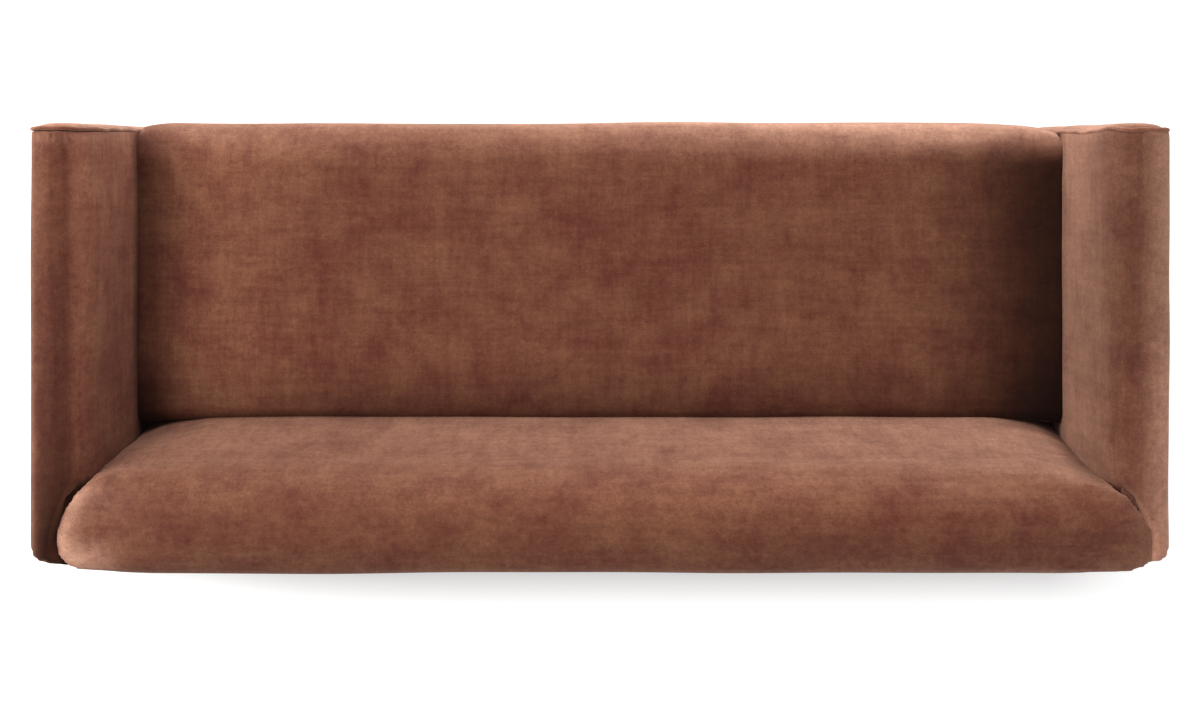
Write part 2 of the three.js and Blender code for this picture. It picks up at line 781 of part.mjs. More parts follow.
// One ring of the seat cushion at a height, drawn in from its largest outline.
function cushionRing(height, draw, frontDraw, crownShare) {
  const half = armInner - cushionGap - draw;
  const front = -frontReach + frontDraw;
  const base = deckTop + fitGap;
  const backThere = backFace(Math.min(height, base + cushionThickness));
  const rear = backThere - cushionGap - draw * cushionRearDrawShare;
  const cornerWidth = Math.min(cushionFrontCornerWidth, half / 2);
  const rearCorner = Math.min(cushionRearCorner, (rear - front) / 4);
  const frontSpan = half - cornerWidth;
  const sideFront = front + cushionFrontCornerDepth;
  const sideRear = rear - rearCorner;
  const side = cushionSideShares.map((share) => THREE.MathUtils.lerp(sideFront, sideRear, share));
  const outline = [
    ...cushionLengthShares.map((share) => new THREE.Vector2(frontSpan * share, front)),
    ...arc(half - cornerWidth, sideFront, cornerWidth, cushionFrontCornerDepth, -90, 0, cornerSteps),
    ...side.map((y) => new THREE.Vector2(half, y)),
    ...arc(half - rearCorner, sideRear, rearCorner, rearCorner, 0, 90, smallRoundSteps),
    ...cushionLengthShares.map((share) => new THREE.Vector2(-(half - rearCorner) * share, rear)),
    ...arc(-half + rearCorner, sideRear, rearCorner, rearCorner, 90, 180, smallRoundSteps),
    ...side.toReversed().map((y) => new THREE.Vector2(-half, y)),
    ...arc(cornerWidth - half, sideFront, cornerWidth, cushionFrontCornerDepth, 180, 270, cornerSteps),
  ];
  const middle = (backJoin - frontReach) / 2;
  const reach = (backJoin + frontReach) / 2;
  return outline.map((p) => {
    const fall = (1 - Math.abs(p.x / armInner) ** 6) * (1 - Math.abs((p.y - middle) / reach) ** 4);
    return point(p.x, p.y, height + cushionCrown * crownShare * Math.max(fall, 0));
  });
}

// The loose bench cushion: flat below, rounded edges, a fuller front and a low crown on top.
function seatCushion() {
  const bottom = deckTop + fitGap;
  const top = bottom + cushionThickness;
  const radius = cushionEdgeRadius;
  const depth = frontReach + backJoin;
  const foot = cushionFootDraw;
  const inset = (height, share, crown) => ({ height, draw: depth * share, front: depth * share, crown });
  const levels = [
    inset(bottom, cushionBottomShare, 0),
    ...cushionFootShares.map(({ rise, draw, front }) => (
      { height: bottom + foot * rise, draw: foot * draw, front: foot * front, crown: 0 }
    )),
    ...cushionWallShares.map(({ rise, front }) => (
      { height: bottom + cushionThickness * rise, draw: 0, front: foot * front, crown: 0 }
    )),
    ...cushionEdgeShares.map(({ drop, draw, front, crown }) => (
      { height: top - radius * drop, draw: radius * draw, front: radius * front, crown }
    )),
    ...cushionTopShares.map((share) => inset(top, share, 1)),
  ];
  const rings = levels.map(({ height, draw, front, crown }) => cushionRing(height, draw, front, crown));
  return loft(rings, (p) => new THREE.Vector2(p.x, p.y));
}

// A board along X with eased edges, between the arm frames unless told otherwise.
function boardAlongX(y0, y1, z0, z1, half = armFrameInner - fitGap) {
  return runAlongX(easedRectangle(y0, y1, z0, z1, boardEdge), -half, half);
}

// A board along Y with eased edges.
function boardAlongY(x0, x1, z0, z1, y0, y1) {
  return runAlongY(easedRectangle(x0, x1, z0, z1, boardEdge), y0, y1);
}

// The cross rail's length, from housing to housing, grown by a clearance when it is used as a cutter.
function crossRail(grow) {
  const half = crossRailThickness / 2 + grow;
  const front = -(frontRailFace - railThickness) - housingDepth - grow;
  const rear = rearRailFace + housingDepth + grow;
  const top = seatRailTop - crossRailDrop + grow;
  return boardAlongY(-half, half, frameBottom - (grow > 0 ? cutOverrun : 0), top, front, rear);
}

// A seat rail with the housing that takes the cross rail's end.
function housedRail(y0, y1) {
  const rail = toSolid(boardAlongX(y0, y1, frameBottom, seatRailTop));
  return toGeometry(rail.subtract(toSolid(crossRail(fitGap))));
}

// A triangular block glued into a corner of the seat frame, its tips cut square.
function cornerBlock(inward, cornerY) {
  const cornerX = armFrameInner - fitGap;
  const [leg, tip] = [cornerBlockLeg, cornerBlockTip];
  const outline = [
    new THREE.Vector2(cornerX, cornerY),
    new THREE.Vector2(cornerX, cornerY + inward * leg),
    new THREE.Vector2(cornerX - tip, cornerY + inward * leg),
    new THREE.Vector2(cornerX - leg, cornerY + inward * tip),
    new THREE.Vector2(cornerX - leg, cornerY),
  ];
  const bottom = frameBottom + cornerBlockRaise;
  return raised(inward > 0 ? outline : outline.reverse(), bottom, bottom + cornerBlockHeight);
}

// The front post, a thick board on end under the arm's top rail.
function frontPost() {
  const plan = easedRectangle(armFrameInner, armFrameOuter, -armFront, -armFront + frontPostDepth, boardEdge);
  return raised(plan, frameBottom, postTop);
}

// The rear post, rounded outside so that the velvet turns the corner over it.
function rearPost() {
  const radius = armCornerRadius - outsidePadding - fitGap;
  const plan = [
    new THREE.Vector2(armFrameInner, frameRear - rearPostDepth),
    new THREE.Vector2(armFrameOuter, frameRear - rearPostDepth),
    ...arc(armFrameOuter - radius, frameRear - radius, radius, radius, 0, 90, roundSteps),
    new THREE.Vector2(armFrameInner, frameRear),
  ];
  return raised(plan, frameBottom, postTop);
}

// The board on top of the arm's two posts, rounded at the rear outer corner.
function armTopRail() {
  const radius = armCornerRadius - outsidePadding - fitGap;
  const plan = [
    new THREE.Vector2(armFrameInner, -armFront),
    new THREE.Vector2(armFrameOuter, -armFront),
    ...arc(armFrameOuter - radius, frameRear - radius, radius, radius, 0, 90, roundSteps),
    new THREE.Vector2(armFrameInner, frameRear),
  ];
  return raised(plan, frameTop - armTopRailHeight, frameTop);
}

// The thin board on the inner side of an arm's frame that backs the padding.
function armLiner() {
  const outline = [
    new THREE.Vector2(-armFront, tackRailBottom),
    ...webbingLine(padClearance, tackRailBottom, frameTop),
    new THREE.Vector2(-armFront, frameTop),
  ];
  return runAlongX(outline, linerInner, linerInner + linerThickness);
}

// A plywood rib of the back: upright behind, raked in front, notched for the rails and opened out.
function backRib(x) {
  const front = rearRailFace + railThickness + fitGap;
  const tackRear = rearRailFace + tackRailThickness + fitGap;
  const tackTop = tackRailBottom + tackRailHeight + fitGap;
  const baseFront = frameRear - baseRailThickness - fitGap;
  const baseTop = frameBottom + baseRailHeight + fitGap;
  const top = frameTop - backTopRailHeight - fitGap;
  const headFront = webHead + ribTopMargin;
  const outline = [
    new THREE.Vector2(front, frameBottom),
    new THREE.Vector2(baseFront, frameBottom),
    new THREE.Vector2(baseFront, baseTop),
    new THREE.Vector2(frameRear, baseTop),
    new THREE.Vector2(frameRear, top),
    new THREE.Vector2(headFront, top),
    new THREE.Vector2(tackRear, tackTop),
    new THREE.Vector2(tackRear, tackRailBottom - fitGap),
    new THREE.Vector2(front, tackRailBottom - fitGap),
  ];
  const margin = ribHoleMargin;
  const slope = (headFront - tackRear) / (top - tackTop);
  const holeTop = tackTop + (top - tackTop) * ribHoleHeightShare;
  const hole = [
    new THREE.Vector2(tackRear + margin, tackTop + margin),
    new THREE.Vector2(tackRear + margin + slope * (holeTop - tackTop - margin), holeTop),
    new THREE.Vector2(frameRear - margin, holeTop),
    new THREE.Vector2(frameRear - margin, tackTop + margin),
  ];
  return runAlongX(outline, x - ribThickness / 2, x + ribThickness / 2, [hole]);
}

// The webbing: upright straps from the tack rail to the top rail, crossed by level straps between them.
function backWebbing() {
  const lineFront = webbingLine(strapThickness + fitGap, tackRailBottom, frameTop);
  const lineRear = webbingLine(fitGap, tackRailBottom, frameTop).reverse();
  const half = armInner - strapWidth;
  const pitch = (2 * half - strapWidth) / (strapCount - 1);
  const rows = [tackRailBottom - cutOverrun];
  for (let i = 1; i <= crossStrapCount; i += 1) {
    const z = webFootTop + ((webHeadBottom - webFootTop) * i) / (crossStrapCount + 1);
    rows.push(z - strapWidth / 2, z + strapWidth / 2);
  }
  rows.push(frameTop + cutOverrun);
  let webbing = toSolid(runAlongX([...lineFront, ...lineRear].reverse(), -half, half));
  for (let column = 1; column < strapCount; column += 1) {
    const right = -half + pitch * column;
    for (let row = 0; row < rows.length; row += 2) {
      const window = block(
        point(right - pitch + strapWidth, 0, rows[row]),
        point(right, frameRear, rows[row + 1]),
      );
      webbing = webbing.subtract(toSolid(window));
    }
  }
  return toGeometry(webbing);
}

// The cloth stapled under the frame.
function dustCover() {
  const half = armOuter - dustCoverInset;
  const outline = easedRectangle(-half, half, -frontRailFace + fitGap, frameRear - boardEdge, dustCoverInset);
  return raised(outline, dustCoverBottom, dustCoverBottom + dustCoverThickness);
}

// A square leg with chamfered corners, a short upright shoulder and a taper to the foot.
function leg(x, y) {
  const rings = [
    { height: legBottom, size: legFootSize },
    { height: legTop - legShoulderHeight, size: legShoulderSize },
    { height: legTop - legShoulderHeight + legChamfer, size: legTopSize },
    { height: legTop, size: legTopSize },
  ].map(({ height, size }) => {
    const half = size / 2;
    return easedRectangle(x - half, x + half, y - half, y + half, legChamfer)
      .map((p) => point(p.x, p.y, height));
  });
  return loft(rings, (p) => new THREE.Vector2(p.x, p.y));
}

// A nail-on glide: a shallow dome with a flat to stand on.
function glide(x, y) {
  const profile = [
    new THREE.Vector2(0, 0),
    new THREE.Vector2(glideFlatRadius, 0),
    new THREE.Vector2(glideRadius, glideDomeHeight),
    new THREE.Vector2(glideRadius, glideHeight),
    new THREE.Vector2(0, glideHeight),
  ];
  return new THREE.LatheGeometry(profile, glideSteps).rotateX(Math.PI / 2).translate(x, y, 0);
}

// The soft pieces
addVelvet("seat_cushion", seatCushion());
addVelvet("inside_back_pad", insideBackPad());
addPair("arm_pad", armPad(), addVelvet);
addPair("arm_front_panel", armFrontPanel(), addVelvet);
addPair("arm_front_welt", armFrontWelt(), addVelvet);
addPair("outside_arm_panel", outsideArmPanel(), addVelvet);
addVelvet("outside_back_panel", outsideBackPanel());
addVelvet("front_border", frontBorder());
add("seat_deck", seatDeck(), deckColour, clothRoughnessShare);
add("dust_cover", dustCover(), dustColour, clothRoughnessShare);

// The suspension
const springSpan = 2 * (armInner - springEndMargin);
for (let i = 0; i < springCount; i += 1) {
  const x = -springSpan / 2 + (springSpan * i) / (springCount - 1);
  add(`seat_spring_${i + 1}`, spring(x), steelColour, steelRoughnessShare, 1);
}
console.log("least gap of a spring to itself, mm:", leastGap(springRoute(0), springWire, 3).toFixed(2));
add("back_webbing", backWebbing(), webbingColour, webbingRoughnessShare);

// The seat frame
addBeech("front_seat_rail", housedRail(-frontRailFace, -(frontRailFace - railThickness)));
addBeech("rear_seat_rail", housedRail(rearRailFace, rearRailFace + railThickness));
addBeech("rear_base_rail", boardAlongX(
  frameRear - baseRailThickness, frameRear, frameBottom, frameBottom + baseRailHeight));
addBeech("centre_cross_rail", crossRail(0));
const sideRailFront = -(armFront - frontPostDepth) + fitGap;
const sideRailRear = frameRear - rearPostDepth - fitGap;
addPair("side_seat_rail", boardAlongY(
  armFrameInner, armFrameInner + railThickness, frameBottom, seatRailTop,
  sideRailFront, sideRailRear), addBeech);
addPair("front_corner_block", cornerBlock(1, -(frontRailFace - railThickness) + fitGap), addBeech);
addPair("rear_corner_block", cornerBlock(-1, rearRailFace - fitGap), addBeech);

// The arm and back frames
addPair("front_post", frontPost(), addBeech);
addPair("rear_post", rearPost(), addBeech);
addPair("arm_top_rail", armTopRail(), addBeech);
addPair("arm_liner", armLiner(), addBeech);
addPair("arm_tack_rail", boardAlongY(
  armFrameInner, armFrameInner + tackRailThickness, tackRailBottom, tackRailBottom + tackRailHeight,
  sideRailFront, sideRailRear), addBeech);
addBeech("back_top_rail", boardAlongX(
  frameRear - backTopRailThickness, frameRear, frameTop - backTopRailHeight, frameTop));
addBeech("back_tack_rail", boardAlongX(
  rearRailFace, rearRailFace + tackRailThickness, tackRailBottom, tackRailBottom + tackRailHeight));
for (const [name, x] of [["right", -ribSpacing], ["centre", 0], ["left", ribSpacing]]) {
  addBeech(`${name}_back_rib`, backRib(x));
}

// The feet: four under the posts and one under the cross rail
const legX = (armFrameInner + armFrameOuter) / 2;
const legFrontY = -armFront + frontPostDepth / 2 + boardEdge;
const legRearY = frameRear - rearPostDepth / 2 - boardEdge;
const crossMiddle = (rearRailFace - (frontRailFace - railThickness)) / 2;
const feet = [
  ["left_front", legX, legFrontY],
  ["right_front", -legX, legFrontY],
  ["left_rear", legX, legRearY],
  ["right_rear", -legX, legRearY],
  ["centre", 0, crossMiddle],
];
for (const [name, x, y] of feet) {
  add(`${name}_leg`, leg(x, y), walnutColour, walnutRoughnessShare);
  add(`${name}_glide`, glide(x, y), nylonColour, nylonRoughnessShare);
}

export default sofa;
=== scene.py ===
"""Upholsters a three-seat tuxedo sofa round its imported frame: velvet pieces, welts, springs, webbing, wood.

Metres, +Z up from the floor, -Y the front, +X the sitter's left.
"""

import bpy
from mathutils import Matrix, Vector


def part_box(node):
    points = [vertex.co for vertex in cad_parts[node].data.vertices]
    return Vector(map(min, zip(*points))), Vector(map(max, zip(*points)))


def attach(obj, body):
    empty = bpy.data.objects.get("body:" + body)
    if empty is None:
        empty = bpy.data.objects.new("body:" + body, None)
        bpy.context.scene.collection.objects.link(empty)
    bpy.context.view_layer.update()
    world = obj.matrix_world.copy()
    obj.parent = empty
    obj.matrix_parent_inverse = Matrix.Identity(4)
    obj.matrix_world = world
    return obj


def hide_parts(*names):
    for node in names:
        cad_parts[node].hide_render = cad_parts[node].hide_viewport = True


bl_info = {
    "name": "Tuxedo sofa",
    "version": (1, 0, 0),
    "blender": (4, 5, 0),
    "location": "3D View > Sidebar > Sofa",
    "description": "Builds the velvet upholstery, suspension, webbing and finishes of a tuxedo sofa",
    "category": "Object",
}

import functools
import math

import bmesh
import bpy
import numpy as np
from mathutils import Vector

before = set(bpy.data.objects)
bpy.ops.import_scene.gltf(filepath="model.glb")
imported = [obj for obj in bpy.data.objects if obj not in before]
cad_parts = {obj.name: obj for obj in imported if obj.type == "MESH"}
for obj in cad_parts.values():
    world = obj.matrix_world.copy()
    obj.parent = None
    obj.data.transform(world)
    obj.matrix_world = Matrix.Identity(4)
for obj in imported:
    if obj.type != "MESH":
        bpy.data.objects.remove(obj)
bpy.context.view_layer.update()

# Clearance between pieces that touch
GAP = 0.0003

# Places taken from the frame
SEAT_LOW, SEAT_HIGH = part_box("seat_cushion")
BACK_LOW, BACK_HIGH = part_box("inside_back_pad")
ARM_LOW, ARM_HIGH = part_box("left_arm_pad")
WELT_LOW, WELT_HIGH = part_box("left_arm_front_welt")
TOP_RAIL_LOW, TOP_RAIL_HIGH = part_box("back_top_rail")
TACK_RAIL_LOW, TACK_RAIL_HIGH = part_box("back_tack_rail")
RAIL_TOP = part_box("front_seat_rail")[1].z
RAILS_INNER = (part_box("front_seat_rail")[1].y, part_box("rear_seat_rail")[0].y)
DUST_LOW, DUST_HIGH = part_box("dust_cover")
SEAM_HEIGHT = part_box("outside_back_panel")[1].z + GAP
FRAME_TOP = TOP_RAIL_HIGH.z
FRAME_REAR = TOP_RAIL_HIGH.y
ARM_INNER = ARM_LOW.x
ARM_OUTER = ARM_HIGH.x
SIDES = {"left": 1, "right": -1}

# Inside back
BACK_JOIN = 0.201
BACK_JOIN_HEIGHT = 0.425
BACK_SLOPE_SHARE = 0.225
BACK_CROWN = 0.006
BACK_FRONT_RADIUS = 0.098
BACK_END_RADIUS = 0.048
BACK_ROLL_STRETCH = 1.2
BACK_REAR_RADIUS = 0.026
BACK_TOP_CROWN = 0.005
BACK_SEAM_TUCK = 0.006
BACK_END_LENGTH = 0.13
BACK_END_POWER = 2.0
BACK_END_DRAW = 0.0385
BACK_RIGHT_DRAW = 0.042
BACK_RIGHT_TURN = 0.266
BACK_TURN_BOTTOM = 0.446
BACK_TURN_HEIGHT = 0.216
BACK_REAR_BULGE = 0.0105
BACK_REAR_DRAW = 0.004
BACK_END_DROP = 0.003
BACK_END_PRESS = 0.004
WEB_CLEARANCE = 0.0026
PILLOW_OVERLAP = 0.01
PILLOW_REACH = 0.076
PILLOW_RIGHT_REACH = 0.089
PILLOW_FLOOR = 0.0035
PILLOW_FRONT = 0.2525
PILLOW_RIGHT_FRONT = 0.264
PILLOW_CENTRE = 0.368
PILLOW_FRONT_POWER = 1.5
PILLOW_ROOT_DEPTH = 0.033
PILLOW_ROOT_LENGTH = 0.019
PILLOW_DRAWN_IN = 0.0045
PILLOW_REAR = 0.4405
PILLOW_REAR_LENGTH = 0.05
PILLOW_RIGHT_REAR = 0.028
PILLOW_START = 0.935
PILLOW_TIP_HEIGHT = 0.0005
PILLOW_TIP_GAP = 0.0006
PILLOW_RADIUS_SHARE = 0.4
PILLOW_DOME_POWER = 2.6
BACK_CREASE_HEIGHT = 0.56

# Seat cushion
CUSHION_SIDE_EDGE = 0.015
CUSHION_REAR_EDGE = 0.007
CUSHION_REAR_GAP = 0.0008
CUSHION_FRONT_EDGE = 0.085
CUSHION_RIGHT_DRAW = 0.012
CUSHION_RIGHT_LENGTH = 0.24
CUSHION_EDGE_HEIGHT = 0.036
CUSHION_FOOT = 0.016
CUSHION_FRONT_FOOT = 0.03
CUSHION_CORNER_WIDTH = 0.07
CUSHION_CORNER_DEPTH = 0.015
CUSHION_REAR_CORNER = 0.022
CUSHION_CROWN = 0.014
CUSHION_FOOT_INSET = 0.12
CUSHION_TOP_INSETS = (0.15, 0.15, 0.17)
CUSHION_MIDDLE_INSET = 0.27
CUSHION_EAR = 0.024
CUSHION_EAR_LENGTH = 0.16

# Arm roll beside the pillow ends, welts and springs
ROLL_REACH = 0.014
COVERED_INSET = 0.022
COVERED_OUTSET = 0.004
COVERED_FRONT_INSET = 0.024
COVERED_REAR_INSET = 0.02
FRONT_EDGE_DRAW = 0.005
ROLL_DEPTH = 0.009
ROLL_REAR_BULGE = 0.0065
ARM_INNER_RADIUS = 0.05
ARM_ROLL_HEIGHT = 0.09
ARM_OUTER_RADIUS = 0.028
REAR_CORNER_RADIUS = 0.045
WELT_RADIUS = 0.004
WELT_FORWARD = 0.0025
WELT_RIGHT_FORWARD = 0.001
WIRE_RADIUS = 0.0019
SPRING_WIDTH = 0.052
SPRING_CURLS = 12
SPRING_ARCH = 0.012
STRAP_WIDTH = 0.05
STRAP_THICKNESS = 0.0016
STRAP_COUNT = 7
CROSS_STRAP_COUNT = 2
DUST_COLUMNS, DUST_ROWS = 120, 48
DUST_SAG = 0.004
DUST_THICKNESS = 0.0008
CLIP_THICKNESS = 0.0018
CLIP_WIDTH = 0.016
CLIP_INSET = 0.012

# Cloth simulation, and the depth of the relief of hard finishes
CLOTH_FRAMES = 20
WOOD_RELIEF = 0.0002
METAL_RELIEF = 0.0001

# Camera and picture: straight down over the front of the seat, the back at the bottom of the picture
PICTURE_WIDTH = 1200
SENSOR_WIDTH = 36.0
FOCAL_PIXELS = 1484
CAMERA_PLACE = (0.0, -0.368, 3.56)
AXIS_ROW = 150
PICTURE_MIDDLE_ROW = 355.5
CAMERA_REACH = 60

# Lamps and floor
LAMP_TARGET = Vector((0.0, 0.0, 0.5))
FLOOR_REACH = 9.0
FLOOR_GLOW = 0.56


# Meshes

def new_object(name, points, faces, edges=()):
    """A mesh object at the origin."""
    mesh = bpy.data.meshes.new(name)
    mesh.from_pydata([tuple(p) for p in points], edges, faces)
    return placed(name, mesh)


def placed(name, data):
    """A new object in the scene with its data."""
    obj = bpy.data.objects.new(name, data)
    bpy.context.scene.collection.objects.link(obj)
    return obj


def merged(obj, distance, outwards=False):
    """Merges vertices that lie closer than a distance and, where asked, turns all faces out."""
    form = bmesh.new()
    form.from_mesh(obj.data)
    bmesh.ops.remove_doubles(form, verts=form.verts, dist=distance)
    if outwards:
        bmesh.ops.recalc_face_normals(form, faces=form.faces)
    form.to_mesh(obj.data)
    form.free()
    return obj


def face_outwards(obj):
    """Merges doubles and turns all faces out."""
    return merged(obj, 1e-6, outwards=True)


def loft(name, rings):
    """A closed skin over rings with equal numbers of points, capped at both ends."""
    size = len(rings[0])
    points = [p for ring in rings for p in ring]
    faces = []
    for row in range(len(rings) - 1):
        for i in range(size):
            a, b = row * size + i, row * size + (i + 1) % size
            faces.append((a, b, b + size, a + size))
    last = (len(rings) - 1) * size
    faces.append(tuple(range(size)))
    faces.append(tuple(range(last, last + size)))
    return face_outwards(new_object(name, points, faces))


def copy_of(node, name):
    """A merged copy of a frame node's mesh, to work on."""
    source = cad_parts[node].data
    points = [v.co.copy() for v in source.vertices]
    return merged(new_object(name, points, [tuple(p.vertices) for p in source.polygons]), 1e-5)


def vectors_of(items, key):
    """One vector of each item as an array."""
    out = np.empty(len(items) * 3, np.float32)
    items.foreach_get(key, out)
    return out.reshape(-1, 3).astype(float)


def points_of(obj):
    """The vertices of an object as an array."""
    return vectors_of(obj.data.vertices, "co")


def place_points(obj, co):
    """Puts the vertices of an object at new places."""
    obj.data.vertices.foreach_set("co", np.asarray(co, np.float32).ravel())
    obj.data.update()


def normals_of(obj):
    """The vertex normals of an object as an array."""
    return vectors_of(obj.data.vertex_normals, "vector")


def with_modifiers_applied(obj):
    """Takes what the modifiers make as the object's own mesh."""
    depsgraph = bpy.context.evaluated_depsgraph_get()
    mesh = bpy.data.meshes.new_from_object(obj.evaluated_get(depsgraph))
    obj.modifiers.clear()
    old = obj.data
    obj.data = mesh
    bpy.data.meshes.remove(old)
    mesh.name = obj.name
    return obj


def modified(obj, kind, **settings):
    """Applies one modifier with its settings."""
    modifier = obj.modifiers.new(kind.title(), kind)
    for key, value in settings.items():
        setattr(modifier, key, value)
    return with_modifiers_applied(obj)


def remeshed(obj, square):
    """An even skin of small squares round the whole form."""
    return modified(obj, "REMESH", mode="VOXEL", voxel_size=square)


def weighted_group(obj, name, weights):
    """A vertex group in which each vertex has its weight."""
    group = obj.vertex_groups.new(name=name)
    for level in np.unique(weights):
        group.add(np.nonzero(weights == level)[0].tolist(), float(level), "REPLACE")
    return group.name


def smoothed(obj, repeats, weights=None):
    """Relaxes the skin, only as far as the weights say where they are given."""
    settings = {"factor": 0.5, "iterations": repeats}
    if weights is not None:
        settings["vertex_group"] = weighted_group(obj, "relaxed", weights.round(1))
    obj = modified(obj, "SMOOTH", **settings)
    obj.vertex_groups.clear()
    return obj


def solidified(obj, thickness):
    """Gives a sheet its thickness."""
    return modified(obj, "SOLIDIFY", thickness=thickness, offset=0)


def soft_copy(node, name, square, relax):
    """A copy of a frame node under an even skin, relaxed a number of times."""
    return smoothed(remeshed(copy_of(node, name), square), relax)


def smoothstep(value, low, high):
    """0 below low, 1 above high, and smooth between."""
    t = np.clip((value - low) / (high - low), 0, 1)
    return t * t * (3 - 2 * t)


def bell(value, centre, width):
    """1 at the centre, falling smoothly to 0 on both sides of it."""
    return np.exp(-((value - centre) / width) ** 2)


def arc(centre, radii, start, end, steps):
    """Points of a round or elliptical stretch in a plane, both ends included."""
    angles = np.radians(np.linspace(start, end, steps + 1))
    return [(centre[0] + radii[0] * math.cos(a), centre[1] + radii[1] * math.sin(a)) for a in angles]


def puffed(obj, pressure, limit, hold):
    start = points_of(obj)
    cover = obj.modifiers.new("Cover", "CLOTH")
    settings = cover.settings
    settings.quality = 6
    settings.mass = 0.4
    settings.tension_stiffness = 18
    settings.compression_stiffness = 12
    settings.bending_stiffness = 1.2
    settings.use_pressure = True
    settings.uniform_pressure_force = pressure
    settings.effector_weights.gravity = 0
    settings.vertex_group_mass = weighted_group(obj, "held", hold)
    cover.point_cache.frame_start = 1
    cover.point_cache.frame_end = CLOTH_FRAMES
    scene = bpy.context.scene
    for number in range(1, CLOTH_FRAMES + 1):
        scene.frame_set(number)
    depsgraph = bpy.context.evaluated_depsgraph_get()
    end = vectors_of(obj.evaluated_get(depsgraph).to_mesh().vertices, "co")
    obj.modifiers.clear()
    obj.vertex_groups.clear()
    scene.frame_set(1)
    move = end - start
    length = np.linalg.norm(move, axis=1, keepdims=True)
    soft = limit * np.tanh(length / limit) / np.maximum(length, 1e-9)
    place_points(obj, start + move * soft)
    return obj


def crease(obj, start, end, width, depth):
    """Presses one crease into a cover, deepest at its middle."""
    co = points_of(obj)
    start, end = np.array(start), np.array(end)
    along = end - start
    share = ((co - start) @ along) / (along @ along)
    nearest = start + np.clip(share, 0, 1)[:, None] * along
    away = np.linalg.norm(co - nearest, axis=1)
    fade = np.sin(np.pi * np.clip(share, 0, 1))
    ridge = bell(away, 0, width) - 0.45 * bell(away, 2 * width, width)
    place_points(obj, co - normals_of(obj) * (depth * fade * ridge)[:, None])


def swell(obj, size, depth, seed):
    """Adds the slow unevenness of stuffing under a cover."""
    co = points_of(obj)
    random = np.random.default_rng(seed)
    total = np.zeros(len(co))
    for _ in range(9):
        direction = random.normal(size=3)
        direction /= np.linalg.norm(direction)
        pitch = size * random.uniform(0.7, 1.8)
        total += np.sin(co @ direction * (2 * np.pi / pitch) + random.uniform(0, 2 * np.pi))
    place_points(obj, co + normals_of(obj) * (depth * total / 3)[:, None])


def keep_value(obj, name, values):
    """Stores one number per vertex under a name that materials read."""
    layer = obj.data.attributes.new(name, "FLOAT", "POINT")
    layer.data.foreach_set("value", np.asarray(values, np.float32))


def finished(obj, node, material, slot="velvet", body="sofa"):
    """Gives a piece its finish, ties it to its body and hides the frame node that it stands for."""
    mesh = obj.data
    mesh.materials.clear()
    mesh.materials.append(material)
    mesh.polygons.foreach_set("material_index", [0] * len(mesh.polygons))
    mesh.polygons.foreach_set("use_smooth", [True] * len(mesh.polygons))
    # Velvet pieces without values of their own get even painted shade and the full painted sheen
    for name in ("shade", "painted_sheen"):
        if name not in mesh.attributes and slot == "velvet":
            keep_value(obj, name, np.ones(len(mesh.vertices)))
    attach(obj, body)
    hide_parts(node)


# Node trees

VECTOR, GEOMETRY, FINISH = "NodeSocketVector", "NodeSocketGeometry", "NodeSocketMaterial"
SOCKET_KINDS = {float: "NodeSocketFloat", int: "NodeSocketInt", tuple: "NodeSocketColor"}
SURFACE_OUTPUTS = {"Color": "NodeSocketColor", "Roughness": "NodeSocketFloat", "Height": "NodeSocketFloat"}
WHITE = (1.0, 1.0, 1.0, 1.0)


